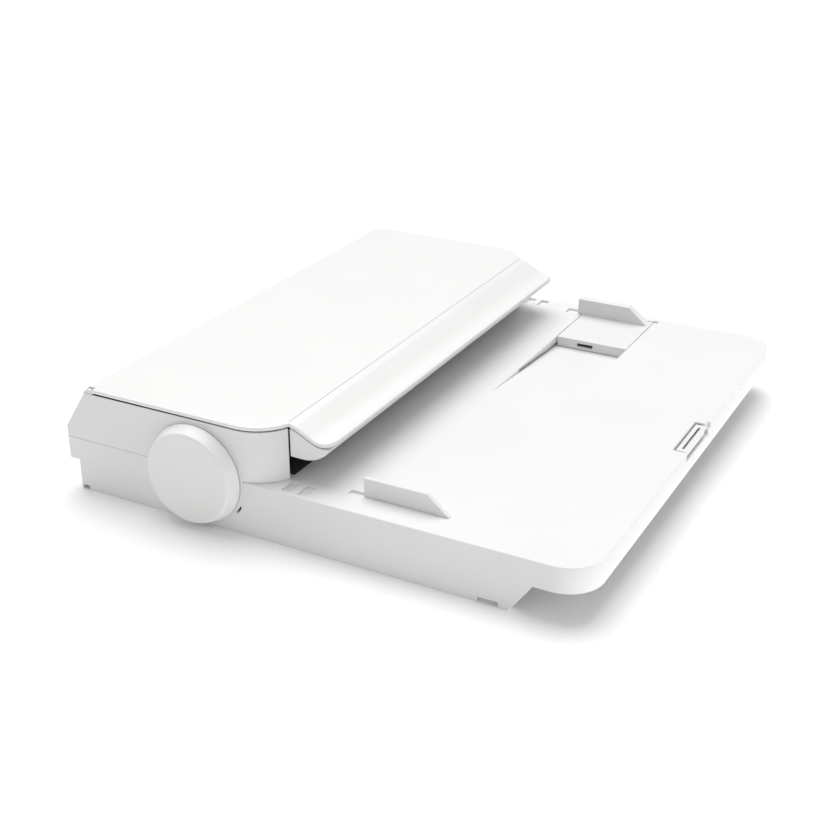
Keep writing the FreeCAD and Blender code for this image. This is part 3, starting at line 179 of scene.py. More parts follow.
def mouldedPlastic(name, colour, shade, grain, depth, rough, sockets):
    # grain and depth in millimetres: spark-eroded tool texture, seen as a faint matt tooth,
    # with the slow cloudiness of a large moulding under it
    material, shader, place = newFinish(name, sockets)
    tooth = addNode(material, "ShaderNodeTexNoise", {"Scale": 1000 / grain, "Detail": 3.0, "Roughness": 0.6},
                    {"Vector": place})
    pits = addNode(material, "ShaderNodeTexVoronoi", {"Scale": 700 / grain}, {"Vector": place})
    clouds = addNode(material, "ShaderNodeTexNoise", {"Scale": 28.0, "Detail": 2.0}, {"Vector": place})
    height = addNode(material, "ShaderNodeMath", {"operation": "MULTIPLY_ADD", 1: 0.45},
                     {0: pits.outputs["Distance"], 2: tooth.outputs["Fac"]})
    bump = addNode(material, "ShaderNodeBump", {"Strength": 1.0, "Distance": depth / 1000},
                   {"Height": height.outputs["Value"]})
    blend = addNode(material, "ShaderNodeMath", {"operation": "MULTIPLY_ADD", 1: 0.25},
                    {0: tooth.outputs["Fac"], 2: clouds.outputs["Fac"]})
    tint = addNode(material, "ShaderNodeMapRange", {"From Min": 0.3, "From Max": 0.95}, {"Value": blend.outputs["Value"]})
    paint = addNode(material, "ShaderNodeMix", {"data_type": "RGBA", 6: toLinear(colour), 7: toLinear(shade)},
                    {0: tint.outputs["Result"]})
    gloss = addNode(material, "ShaderNodeMapRange", {"To Min": rough[0], "To Max": rough[1]},
                    {"Value": tooth.outputs["Fac"]})
    feed(material, shader, Base_Color=paint.outputs[2], Roughness=gloss.outputs["Result"], Normal=bump.outputs["Normal"])
    return material


# case ABS, fine spark-eroded: a dry, slightly cool white that holds no sharp reflection
caseAbs = mouldedPlastic("case ABS spark eroded", "#EAEAE9", "#E6E6E6", 0.9, 0.012, (0.42, 0.55),
                         {"IOR": 1.53, "Specular IOR Level": 0.42})
# cover ABS, satin tool finish: the same white with a soft long sheen along the wing
coverAbs = mouldedPlastic("cover ABS satin", "#F1F1F0", "#EEEEED", 1.2, 0.004, (0.26, 0.34),
                          {"IOR": 1.53, "Specular IOR Level": 0.5, "Coat Weight": 0.12, "Coat Roughness": 0.22})
# knob ABS: a touch brighter, satin on the band, as turned in its tool
knobAbs = mouldedPlastic("knob ABS satin", "#ECECEB", "#E9E9E8", 1.0, 0.006, (0.34, 0.44),
                         {"IOR": 1.53, "Specular IOR Level": 0.45})
# sliding guides, a semi-matt white that shows its edges
guideAbs = mouldedPlastic("guide ABS semi matt", "#E9E9E8", "#E5E5E5", 0.9, 0.010, (0.4, 0.5),
                          {"IOR": 1.53, "Specular IOR Level": 0.45})
# mechanism parts, black glass-filled PC-ABS: dull, with a grey bloom
blackPlastic = mouldedPlastic("mechanism PC-ABS black", "#121314", "#1D1E1F", 0.8, 0.018, (0.45, 0.62),
                              {"IOR": 1.58, "Specular IOR Level": 0.45})
# gears and pulleys, natural acetal: creamy, waxy and a little translucent
gearAcetal = mouldedPlastic("gear acetal natural", "#ECE7D8", "#E2DCCA", 1.1, 0.003, (0.28, 0.38),
                            {"IOR": 1.48, "Specular IOR Level": 0.5, "Subsurface Weight": 0.12,
                             "Subsurface Radius": (0.004, 0.003, 0.002), "Subsurface Scale": 0.4})


def rubber(name, colour, shade, grain, depth, rough):
    # vulcanised rubber: no shine, a talc bloom in patches and a ground surface that grips paper
    material, shader, place = newFinish(name, {"IOR": 1.52, "Specular IOR Level": 0.3})
    ground = addNode(material, "ShaderNodeTexNoise", {"Scale": 1000 / grain, "Detail": 4.0, "Roughness": 0.7},
                     {"Vector": place})
    bloom = addNode(material, "ShaderNodeTexNoise", {"Scale": 160.0, "Detail": 3.0}, {"Vector": place})
    paint = addNode(material, "ShaderNodeMix", {"data_type": "RGBA", 6: toLinear(colour), 7: toLinear(shade)},
                    {0: bloom.outputs["Fac"]})
    bump = addNode(material, "ShaderNodeBump", {"Strength": 1.0, "Distance": depth / 1000},
                   {"Height": ground.outputs["Fac"]})
    gloss = addNode(material, "ShaderNodeMapRange", {"To Min": rough[0], "To Max": rough[1]},
                    {"Value": bloom.outputs["Fac"]})
    feed(material, shader, Base_Color=paint.outputs[2], Roughness=gloss.outputs["Result"], Normal=bump.outputs["Normal"])
    return material


tyreRubber = rubber("EPDM roller rubber ground", "#33343A", "#45464C", 0.5, 0.03, (0.7, 0.9))
footRubber = rubber("rubber foot moulded", "#3A3A3B", "#4A4A4B", 0.7, 0.02, (0.6, 0.8))
beltRubber = rubber("toothless belt neoprene", "#1D1D1E", "#2B2B2C", 0.6, 0.015, (0.6, 0.75))


def corkRubber():
    # cork and rubber sheet, cut: warm brown with pale and dark crumbs about a millimetre across
    material, shader, place = newFinish("friction pad cork rubber", {"IOR": 1.5, "Specular IOR Level": 0.25})
    crumbs = addNode(material, "ShaderNodeTexVoronoi", {"Scale": 1100.0}, {"Vector": place})
    fine = addNode(material, "ShaderNodeTexNoise", {"Scale": 1800.0, "Detail": 3.0}, {"Vector": place})
    shades = addNode(material, "ShaderNodeValToRGB", None, {"Fac": crumbs.outputs["Color"]})
    ramp = shades.color_ramp
    ramp.elements[0].color = toLinear("#5E3B26")
    ramp.elements[1].color = toLinear("#A67650")
    ramp.elements.new(0.5).color = toLinear("#80543A")
    bump = addNode(material, "ShaderNodeBump", {"Strength": 0.8, "Distance": 0.00004}, {"Height": fine.outputs["Fac"]})
    gloss = addNode(material, "ShaderNodeMapRange", {"To Min": 0.75, "To Max": 0.95}, {"Value": fine.outputs["Fac"]})
    feed(material, shader, Base_Color=shades.outputs["Color"], Roughness=gloss.outputs["Result"],
         Normal=bump.outputs["Normal"])
    return material


def groundSteel(name, colour, shade, ring, rough):
    # centreless-ground bar: fine rings round the axis that draw the highlight out along it
    material, shader, place = newFinish(name, {"Metallic": 1.0})
    rings = addNode(material, "ShaderNodeTexWave",
                    {"wave_type": "BANDS", "bands_direction": "Y", "Scale": 1000 / ring / 6.283, "Distortion": 1.5,
                     "Detail": 3.0}, {"Vector": place})
    cloud = addNode(material, "ShaderNodeTexNoise", {"Scale": 220.0, "Detail": 3.0}, {"Vector": place})
    paint = addNode(material, "ShaderNodeMix", {"data_type": "RGBA", 6: toLinear(colour), 7: toLinear(shade)},
                    {0: cloud.outputs["Fac"]})
    gloss = addNode(material, "ShaderNodeMapRange", {"To Min": rough[0], "To Max": rough[1]},
                    {"Value": rings.outputs["Fac"]})
    bump = addNode(material, "ShaderNodeBump", {"Strength": 0.4, "Distance": 0.000008},
                   {"Height": rings.outputs["Fac"]})
    feed(material, shader, Base_Color=paint.outputs[2], Roughness=gloss.outputs["Result"], Normal=bump.outputs["Normal"])
    return material


shaftSteel = groundSteel("shaft steel ground", "#C9CBCE", "#B4B7BB", 0.35, (0.18, 0.32))
pinSteel = groundSteel("pin steel drawn", "#B9BBBE", "#A2A5A9", 0.5, (0.28, 0.42))


def zincSteel():
    # zinc-plated drawn can: pale blue-grey with faint crystal patches
    material, shader, place = newFinish("motor can steel zinc plated", {"Metallic": 1.0})
    patches = addNode(material, "ShaderNodeTexVoronoi", {"Scale": 420.0}, {"Vector": place})
    smear = addNode(material, "ShaderNodeTexNoise", {"Scale": 90.0, "Detail": 4.0, "Distortion": 0.6},
                    {"Vector": place})
    paint = addNode(material, "ShaderNodeMix",
                    {"data_type": "RGBA", 6: toLinear("#C2C6CA"), 7: toLinear("#A5AAB0")}, {0: smear.outputs["Fac"]})
    gloss = addNode(material, "ShaderNodeMapRange", {"To Min": 0.3, "To Max": 0.46},
                    {"Value": patches.outputs["Distance"]})
    bump = addNode(material, "ShaderNodeBump", {"Strength": 0.3, "Distance": 0.00001},
                   {"Height": patches.outputs["Distance"]})
    feed(material, shader, Base_Color=paint.outputs[2], Roughness=gloss.outputs["Result"], Normal=bump.outputs["Normal"])
    return material


def boardLaminate():
    # glass-epoxy laminate under green solder mask: the weave shows as a faint grid
    material, shader, place = newFinish("board FR4 solder mask", {"IOR": 1.55, "Coat Weight": 0.3,
                                                                  "Coat Roughness": 0.15})
    warp = addNode(material, "ShaderNodeTexWave", {"bands_direction": "X", "Scale": 160.0}, {"Vector": place})
    weft = addNode(material, "ShaderNodeTexWave", {"bands_direction": "Y", "Scale": 160.0}, {"Vector": place})
    weave = addNode(material, "ShaderNodeMath", {"operation": "MULTIPLY"},
                    {0: warp.outputs["Fac"], 1: weft.outputs["Fac"]})
    paint = addNode(material, "ShaderNodeMix",
                    {"data_type": "RGBA", 6: toLinear("#14532E"), 7: toLinear("#22713F")}, {0: weave.outputs["Value"]})
    gloss = addNode(material, "ShaderNodeMapRange", {"To Min": 0.28, "To Max": 0.4},
                    {"Value": weave.outputs["Value"]})
    bump = addNode(material, "ShaderNodeBump", {"Strength": 0.5, "Distance": 0.00001},
                   {"Height": weave.outputs["Value"]})
    feed(material, shader, Base_Color=paint.outputs[2], Roughness=gloss.outputs["Result"], Normal=bump.outputs["Normal"])
    return material


padCork = corkRubber()
canZinc = zincSteel()
boardGreen = boardLaminate()
print("finishes mixed")


# ---- modelling helpers: everything starts as a primitive at its place

def box(name, x, y, z):
    low, high = spot(x[0], y[0], z[0]), spot(x[1], y[1], z[1])
    clearSelection()
    bpy.ops.mesh.primitive_cube_add(size=1, location=(low + high) / 2, scale=high - low)
    piece = bpy.context.object
    piece.name = name
    bpy.ops.object.transform_apply(location=True, rotation=True, scale=True)
    return piece


def roundBar(name, x, z, radius, front, back, sides=64):
    # a bar or disc whose axis runs from front to back
    clearSelection()
    bpy.ops.mesh.primitive_cylinder_add(vertices=sides, radius=radius / 1000, depth=(back - front) / 1000,
                                        location=spot(x, (front + back) / 2, z), rotation=(math.pi / 2, 0, 0))
    piece = bpy.context.object
    piece.name = name
    bpy.ops.object.transform_apply(location=True, rotation=True, scale=True)
    return piece


def upright(name, x, y, radius, low, high, sides=48):
    clearSelection()
    bpy.ops.mesh.primitive_cylinder_add(vertices=sides, radius=radius / 1000, depth=(high - low) / 1000,
                                        location=spot(x, y, (low + high) / 2))
    piece = bpy.context.object
    piece.name = name
    bpy.ops.object.transform_apply(location=True, rotation=True, scale=True)
    return piece


def traced(name, plane, points, start, end):
    # one vertex is walked round the outline, the outline is filled and then pulled out along its axis
    def lay(a, b, depth):
        return {"XZ": spot(a, depth, b), "YZ": spot(depth, a, b), "XY": spot(a, b, depth)}[plane]
    corners = [lay(a, b, start) for a, b in points]
    clearSelection()
    bpy.ops.mesh.primitive_plane_add(size=0.001, location=corners[0])
    piece = bpy.context.object
    piece.name = name
    bpy.ops.object.transform_apply(location=True, rotation=True, scale=True)
    bpy.ops.object.mode_set(mode="EDIT")
    bpy.ops.mesh.select_mode(type="VERT")
    bpy.ops.mesh.select_all(action="SELECT")
    bpy.ops.mesh.merge(type="CENTER")
    for here, there in zip(corners, corners[1:]):
        bpy.ops.mesh.extrude_region_move(TRANSFORM_OT_translate={"value": there - here})
    bpy.ops.mesh.select_all(action="SELECT")
    bpy.ops.mesh.edge_face_add()
    bpy.ops.mesh.extrude_region_move(TRANSFORM_OT_translate={"value": lay(0, 0, end) - lay(0, 0, start)})
    bpy.ops.mesh.select_all(action="SELECT")
    bpy.ops.mesh.normals_make_consistent(inside=False)
    bpy.ops.object.mode_set(mode="OBJECT")
    return piece


def arc(x, y, radius, first, last, steps=10):
    turns = [math.radians(first + (last - first) * i / steps) for i in range(steps + 1)]
    return [(x + radius * math.cos(a), y + radius * math.sin(a)) for a in turns]


def carve(piece, *tools, operation="DIFFERENCE"):
    for tool in tools:
        cutter = piece.modifiers.new("carve", "BOOLEAN")
        cutter.operation = operation
        cutter.solver = "EXACT"
        cutter.object = tool
        applyModifiers(piece)
        bpy.data.objects.remove(tool)
    return piece


def weld(piece, *tools):
    return carve(piece, *tools, operation="UNION")


def cleanFaces(piece, angle=0.3):
    editAll(piece)
    bpy.ops.mesh.remove_doubles(threshold=0.000002)
    bpy.ops.mesh.dissolve_limited(angle_limit=math.radians(angle))
    bpy.ops.object.mode_set(mode="OBJECT")


# ---- the parts that keep their drawn shape, with moulded edges

plainParts = {
    # part: (body, slot, finish, edge radius in mm)
    "tray_under_cover": ("base", "casing_white", caseAbs, 0.3),
    "hinge_pins": ("base", "shaft_steel", pinSteel, 0.15),
    "knob_collar": ("base", "casing_white", caseAbs, 0.15),
    "stop_pin": ("base", "shaft_steel", pinSteel, 0.1),
    "gear_studs": ("base", "shaft_steel", pinSteel, 0.15),
    "feed_motor": ("base", "motor_steel", canZinc, 0.4),
    "entry_ramp": ("base", "mechanism_black", blackPlastic, 0.25),
    "flag_pin": ("base", "shaft_steel", pinSteel, 0.1),
    "front_frame": ("base", "mechanism_black", blackPlastic, 0.2),
    "rear_frame": ("base", "mechanism_black", blackPlastic, 0.2),
    "lower_guide": ("base", "mechanism_black", blackPlastic, 0.2),
    "scan_backing_bar": ("base", "casing_white", guideAbs, 0.2),
    "base_pan": ("base", "casing_white", caseAbs, 0.3),
    "drive_board": ("base", "board_green", boardGreen, 0.1),
    "board_socket": ("base", "casing_white", guideAbs, 0.2),
    "cover_turn_guide": ("cover", "mechanism_black", blackPlastic, 0.2),
    "cover_hooks": ("cover", "cover_white", coverAbs, 0.2),
    "feed_shaft": ("feed_roller", "shaft_steel", shaftSteel, 0.2),
    "feed_tyres": ("feed_roller", "tyre_rubber", tyreRubber, 0.3),
    "feed_gear": ("feed_roller", "gear_ivory", gearAcetal, 0.12),
    "compound_gear": ("compound", "gear_ivory", gearAcetal, 0.1),
    "motor_pinion": ("motor_rotor", "gear_ivory", gearAcetal, 0.06),
    "motor_shaft": ("motor_rotor", "shaft_steel", shaftSteel, 0.15),
    "idler_gear": ("idler", "gear_ivory", gearAcetal, 0.12),
    "drive_shaft": ("separation_drive", "shaft_steel", shaftSteel, 0.2),
    "separation_roller": ("separation_drive", "tyre_rubber", tyreRubber, 0.3),
    "drive_gear": ("separation_drive", "gear_ivory", gearAcetal, 0.12),
    "drive_pulley": ("separation_drive", "gear_ivory", gearAcetal, 0.15),
    "pickup_arm": ("arm", "mechanism_black", blackPlastic, 0.3),
    "pickup_belt": ("arm", "tyre_rubber", beltRubber, 0.1),
    "pickup_shaft": ("pickup", "shaft_steel", shaftSteel, 0.2),
    "pickup_roller": ("pickup", "tyre_rubber", tyreRubber, 0.3),
    "pickup_pulley": ("pickup", "gear_ivory", gearAcetal, 0.15),
    "pad_holder": ("pad", "mechanism_black", blackPlastic, 0.2),
    "friction_pad": ("pad", "pad_rubber", padCork, 0.15),
    "sensor_flag": ("flag", "mechanism_black", blackPlastic, 0.2),
    "exit_shaft": ("exit_roller", "shaft_steel", shaftSteel, 0.2),
    "exit_tyres": ("exit_roller", "tyre_rubber", tyreRubber, 0.3),
    "exit_gear": ("exit_roller", "gear_ivory", gearAcetal, 0.12),
    "pinch_axle": ("pinch", "shaft_steel", shaftSteel, 0.2),
    "pinch_wheels": ("pinch", "gear_ivory", gearAcetal, 0.25),
}
for partName, (body, slotName, finish, edge) in plainParts.items():
    finishPiece(partCopy(partName, edge), body, slotName, finish, partName)
print("drawn parts copied and rounded")


# ---- paper tray: one moulding, open underneath, with a chamfered skirt on the open end

def buildTray():
    tray = {
        "width": 235.0, "depth": 244.0, "top": 23.7, "wall": 2.2, "plate": 10.9, "cornerRadius": 15.0,
        "sideStep": 4.8, "sideStepHeight": 13.4, "skirtFoot": 204.1, "skirtTop": 213.1,
        "bayEnd": 79.5, "sideBayEnd": 101.6, "gearBayEnd": 95.0,
        "channel": (138.6, 175.0), "channelFront": 124.0, "channelEnd": 239.9, "rise": 5 / 75,
        "edge": 0.3,
    }
    w, d, t, wall = tray["width"], tray["depth"], tray["top"], tray["wall"]
    r = tray["cornerRadius"]
    under = t - tray["plate"]
    skin = t - wall
    outline = [(tray["sideStep"], 0), (tray["skirtFoot"], 0), (tray["skirtTop"], under), (w, under), (w, t), (0, t),
               (0, tray["sideStepHeight"]), (tray["sideStep"], tray["sideStepHeight"])]
    body = traced("base_tray_shown", "XZ", outline, 0, d)
    plan = [(-1, 0)] + arc(w - r, r, r, -90, 0, 14) + arc(w - r, d - r, r, 0, 90, 14) + [(-1, d)]
    carve(body, traced("plan", "XY", plan, -1, t + 1), operation="INTERSECT")
    ri = r - wall
    inner = ([(tray["sideStep"] + wall, wall)] + arc(w - r, r, ri, -90, 0, 14)
             + arc(w - r, d - r, ri, 0, 90, 14) + [(tray["sideStep"] + wall, d - wall)])
    carve(body, traced("hollow", "XY", inner, -1, skin),
          box("leftHollow", (wall, tray["sideStep"] + 2 * wall), (wall, d - wall),
              (tray["sideStepHeight"] + wall, t + 1)))
    x0, x1 = tray["channel"]
    weld(body, box("trough", (x0 - 2.8, x1 + 2.8), (tray["channelFront"], d - wall + 0.1), (under + 1.6, skin + 0.1)),
         box("stopFloor", (w - 8.2, w - wall / 2), (105, 139), (t - 5.7, skin + 0.1)))
    for side in (5.0, d - 5.0):  # screw bosses
        for x in (14.0, 188.0):
            weld(body, upright("boss", x, side, 3.2, 0.6, 12.1))
    for y in (162.0, 168.6):  # cheeks for the sensor flag's pin
        weld(body, box("cheek", (92.5, 96.5), (y, y + 2.4), (16.6, skin + 0.1)))
    for x in (40.0, 62.0, 120.0, 190.0):  # stiffening ribs inside the skirts, front and rear
        for y in ((wall - 0.1, wall + 3.5), (d - wall - 3.5, d - wall + 0.1)):
            weld(body, box("rib", (x, x + 1.2), y, (under + 1.8, skin + 0.1)))
    cuts = [
        box("feederBay", (tray["sideStep"] + wall, tray["bayEnd"]), (wall, d - wall), (skin - 1, t + 1)),
        box("frontBay", (tray["bayEnd"] - 1, tray["sideBayEnd"]), (11.8, 13.7), (skin - 1, t + 1)),
        box("rearBay", (tray["bayEnd"] - 1, tray["sideBayEnd"]), (233.3, 235.2), (skin - 1, t + 1)),
        box("gearBay", (tray["bayEnd"] - 1, tray["gearBayEnd"]), (233.5, d - wall + 0.1), (skin - 1, t + 1)),
        box("stopRecess", (w - 6.2, w + 1), (107, 137), (t - 4.6, t + 1)),
        box("thumbDip", (w - 1.6, w + 1), (136.6, 139.6), (t - 2.2, t + 1)),
        box("flagSlot", (88, 101), (164.4, 168.6), (15.6, t + 1)),
        roundBar("flagPinHole", 94.5, 18.6, 0.8, 161, 173, 24),
        roundBar("knobHole", 66.5, 22.7, 3.5, -1, wall + 1),
        roundBar("stopPinHole", 231.0, 21.9, 0.8, 105.5, 138.5, 24),
        box("pinSocket", (174.2, 176.9), (238.6, 240.9), (t - 2.0, t + 1)),
        box("frontPocket", (129.6, 136.6), (12.2, 15.3), (t - 1.1, t + 1)),
        box("rearPocket", (129.6, 136.6), (231.8, 237.6), (t - 1.1, t + 1)),
        box("edgeMark", (w - 0.8, w + 1), (136.8, 137.8), (17.4, 18.4)),
        box("edgeMark", (w - 0.8, w + 1), (185.0, 186.0), (20.4, 21.3)),
    ]
    floorEnd = t - (tray["channelEnd"] - tray["channelFront"]) * tray["rise"]
    cuts.append(traced("channel", "YZ", [(tray["channelFront"], t), (tray["channelEnd"], floorEnd),
                                         (tray["channelEnd"], t + 1), (tray["channelFront"], t + 1)], x0, x1))
    grooveFront = tray["channelFront"] + 30
    low = [(y, t - (y - tray["channelFront"]) * tray["rise"]) for y in (grooveFront, tray["channelEnd"])]
    for start, end in ((x0 - 1.2, x0 + 0.5), (x1 - 0.5, x1 + 1.2)):  # undercuts that hold the slider's tongues
        cuts.append(traced("tongueGroove", "YZ", [(y, z + 0.05) for y, z in low] + [(y, z + 1.35) for y, z in reversed(low)],
                           start, end))
    for y in ((-1, wall + 1), (d - wall - 1, d + 1)):
        cuts.append(box("skirtNotch", (191.2, 199.7), y, (-1, 2.0)))
    for y in ((2.2, 10.0), (d - 10.0, d - 2.2)):
        for x in (105.3, 112.4):
            cuts.append(box("hookWindow", (x, x + 4.2), y, (t - 1.2, t + 1)))
    for y in (5.0, d - 5.0):
        for x in (14.0, 188.0):
            cuts.append(upright("bossHole", x, y, 1.3, -0.4, 10.6, 24))
    cuts.append(box("cornerNotch", (5.6, 9.0), (-1, wall + 1), (-1, 1.7)))
    cuts.append(traced("knobRelief", "XZ", [(84.6, 9.2), (85.5, 8.8), (87.5, 11.9), (86.9, 12.5)], -1, wall + 1))
    carve(body, *cuts)
    cleanFaces(body)
    soften(body, tray["edge"], 3)
    return finishPiece(body, "base", "casing_white", caseAbs, "base_tray")


buildTray()
print("tray moulded")


def smoothLine(points, steps=5):
    # a curve through every point, for shapes that have no corners
    line = []
    padded = [points[0]] + points + [points[-1]]
    for a, b, c, d in zip(padded, padded[1:], padded[2:], padded[3:]):
        for i in range(steps):
            t = i / steps
            line.append(tuple(0.5 * (2 * q + (r - p) * t + (2 * p - 5 * q + 4 * r - s) * t * t
                                     + (3 * q - p - 3 * r + s) * t ** 3) for p, q, r, s in zip(a, b, c, d)))
    return line + [points[-1]]


# ---- feeder housing: sloping closed end, round outer corners, open throat over the tray

def buildHousing():
    house = {"length": 105.4, "depth": 244.0, "seam": 23.7, "top": 45.9, "bevelFoot": 28.6, "bevelTop": 11.5,
             "wall": 2.2, "cornerRadius": 19.4, "throat": 11.5, "hinge": (13.4, 45.4), "knob": (66.5, 22.7),
             "rimRebate": 1.3, "edge": 0.4}
    length, d, seam, top, wall = house["length"], house["depth"], house["seam"], house["top"], house["wall"]
    r = house["cornerRadius"]

    def plan(name, left, inset, low, high):
        x, k = length - inset, r - inset
        line = ([(left, inset)] + arc(x - k, inset + k, k, -90, 0, 18)
                + arc(x - k, d - inset - k, k, 0, 90, 18) + [(left, d - inset)])
        return traced(name, "XY", line, low, high)

    outline = [(0, seam), (length, seam), (length, top), (house["bevelTop"], top), (0, house["bevelFoot"])]
    body = traced("feeder_housing_shown", "XZ", outline, 0, d)
    carve(body, plan("outerPlan", -1, 0, seam - 1, top + 1), operation="INTERSECT")
    inside = [(wall, seam - 1), (length, seam - 1), (length, top + 1), (14.8, top + 1), (wall, 27.94)]
    hollow = traced("hollow", "XZ", inside, wall, d - wall)
    carve(hollow, plan("innerPlan", -1, wall, seam - 2, top + 2), operation="INTERSECT")
    rebate = plan("rebate", 17.5, wall - house["rimRebate"], top - 1.6, top + 1)
    hx, hz = house["hinge"]
    kx, kz = house["knob"]
    carve(body, hollow, rebate,
          box("throat", (length - 4.84, length + 1), (house["throat"], d - house["throat"]), (seam - 1, top + 1)),
          roundBar("barrelRelief", hx, hz, 2.95, wall, d - wall),
          roundBar("knobHole", kx, kz, 3.5, -1, wall + 1))
    for front, back in ((0.3, 2.0), (d - 2.0, d - 0.3)):
        weld(body, roundBar("ear", hx, hz, 2.1, front, back, 40))
    for front, back in ((1, wall + 1), (d - wall - 1, d - 1)):
        carve(body, roundBar("pinHole", hx, hz, 1.0, front, back, 24))
    for x in (30.0, 92.0):  # snap ribs that stiffen the long walls, front and rear
        for y in ((wall - 0.1, wall + 2.4), (d - wall - 2.4, d - wall + 0.1)):
            weld(body, box("rib", (x, x + 1.2), y, (seam + 1, top - 4)))
    cleanFaces(body)
    soften(body, house["edge"], 3)
    return finishPiece(body, "base", "casing_white", caseAbs, "feeder_housing")


# ---- top cover: a thin flat lid that runs down into a rounded wing

wingLine = [(103.7, 0), (106.4, 0.75), (109.9, 2.45), (113.4, 4.25), (116.2, 5.35), (118.8, 5.8), (122.0, 5.9)]


def roundTopEdge(body, upper, radius):
    # the lid's upper rim alone gets a generous radius, all the way round and down the wing
    def heightAt(x):
        for (x0, z0), (x1, z1) in zip(upper, upper[1:]):
            if x0 <= x <= x1:
                return z0 + (z1 - z0) * (x - x0) / (x1 - x0)
        return upper[0][1] if x < upper[0][0] else upper[-1][1]
    pick(body)
    pairs = {}
    for polygon in body.data.polygons:
        for key in polygon.edge_keys:
            pairs.setdefault(key, []).append(polygon.normal)
    for item in list(body.data.vertices) + list(body.data.polygons):
        item.select = False
    for edge in body.data.edges:
        ends = [body.data.vertices[i].co for i in edge.vertices]
        onTop = all(abs(1000 * c.z - heightAt(1000 * (c.x - trayLow.x))) < 0.05 for c in ends)
        clear = any(1000 * (c.x - trayLow.x) > 16 or 3 < 1000 * (c.y - trayLow.y) < 241 for c in ends)
        sides = pairs.get(tuple(sorted(edge.vertices)), [])
        edge.select = onTop and clear and len(sides) == 2 and sides[0].angle(sides[1], 0) > math.radians(60)
    bpy.ops.object.mode_set(mode="EDIT")
    bpy.ops.mesh.select_mode(type="EDGE")
    bpy.ops.mesh.bevel(offset=radius / 1000, segments=4, affect="EDGES")
    bpy.ops.object.mode_set(mode="OBJECT")


def buildCover():
    lid = {"bottom": 46.4, "thickness": 1.6, "left": 13.4, "depth": 244.0, "cornerRadius": 19.4, "length": 105.4,
           "throat": 11.5, "tip": 122.0, "tipRadius": 5.5, "hinge": (13.4, 45.4), "barrel": 2.6, "edge": 0.3, "topEdge": 0.8}
    d, low, high = lid["depth"], lid["bottom"], lid["bottom"] + lid["thickness"]
    hx, hz = lid["hinge"]
    curve = smoothLine(wingLine, 6)
    upper = [(x, high - drop) for x, drop in curve]
    lower = [(x, low - drop) for x, drop in curve]
    side = [(lid["left"], low)] + lower + list(reversed(upper)) + [(lid["left"], high)]
    body = traced("top_cover_shown", "XZ", side, 0, d)
    r, k = lid["cornerRadius"], lid["tipRadius"]
    x, front = lid["length"] - r, lid["throat"]
    turn = math.degrees(math.asin((r - front) / r))
    plan = ([(0, 0)] + arc(x, r, r, -90, -turn, 16) + arc(lid["tip"] - k, front + k, k, -90, 0, 8)
            + arc(lid["tip"] - k, d - front - k, k, 0, 90, 8) + arc(x, d - r, r, turn, 90, 16) + [(0, d)])
    carve(body, traced("plan", "XY", plan, low - 8, high + 1), operation="INTERSECT")
    weld(body, roundBar("barrel", hx, hz, lid["barrel"], 2.6, d - 2.6, 56),
         box("web", (hx, hx + 3), (2.6, d - 2.6), (hz, low + 0.1)))
    for rib in (24.0, 34.0, 44.0):  # ribs under the flat of the lid
        weld(body, box("rib", (rib, rib + 1.2), (16, 231), (44.2, low + 0.1)))
    for front, back in ((-1, 2.65), (d - 2.65, d + 1)):  # room for the housing's hinge ears
        carve(body, box("earNotch", (hx - 3, hx + 2.4), (front, back), (hz - 3, high + 1)))
    carve(body,
          roundBar("frontBore", hx, hz, 1.05, 2, 11, 24), roundBar("rearBore", hx, hz, 1.05, d - 11, d - 2, 24))
    cleanFaces(body, 0.05)
    roundTopEdge(body, upper, lid["topEdge"])
    soften(body, lid["edge"], 3, 28)
    return finishPiece(body, "cover", "cover_white", coverAbs, "top_cover")


def buildWingGuide():
    under = smoothLine([(121.2, 39.6), (120.4, 38.2), (119.1, 36.9), (116.8, 35.4), (114.1, 34.3), (110.8, 33.7),
                        (104.05, 33.7)], 5)
    curve = [(x, 45.9 - drop) for x, drop in smoothLine(wingLine[1:-1], 5)]
    body = traced("wing_guide_shown", "XZ", [(104.05, 45.9)] + curve + under, 11.5, 232.5)
    inside = [(106.8, 48), (106.8, 35.3), (110.8, 35.3), (113.6, 35.8), (116, 37.1), (117.4, 38.5), (117.4, 48)]
    carve(body, traced("hollow", "XZ", inside, 13.1, 230.9))
    for y in (60.0, 121.4, 183.0):
        weld(body, box("rib", (106.7, 116.0), (y, y + 1.2), (35.2, 40.0)))
    carve(body, box("rollerRelief", (103, 104.5), (82, 162), (35.5, 43)))  # the raised pickup roller comes near here
    cleanFaces(body, 0.2)
    soften(body, 0.35, 3, 28)
    return finishPiece(body, "cover", "casing_white", caseAbs, "wing_guide")


# ---- jam-clearing knob: a shallow cup with a soft rim and a hub on the feed shaft

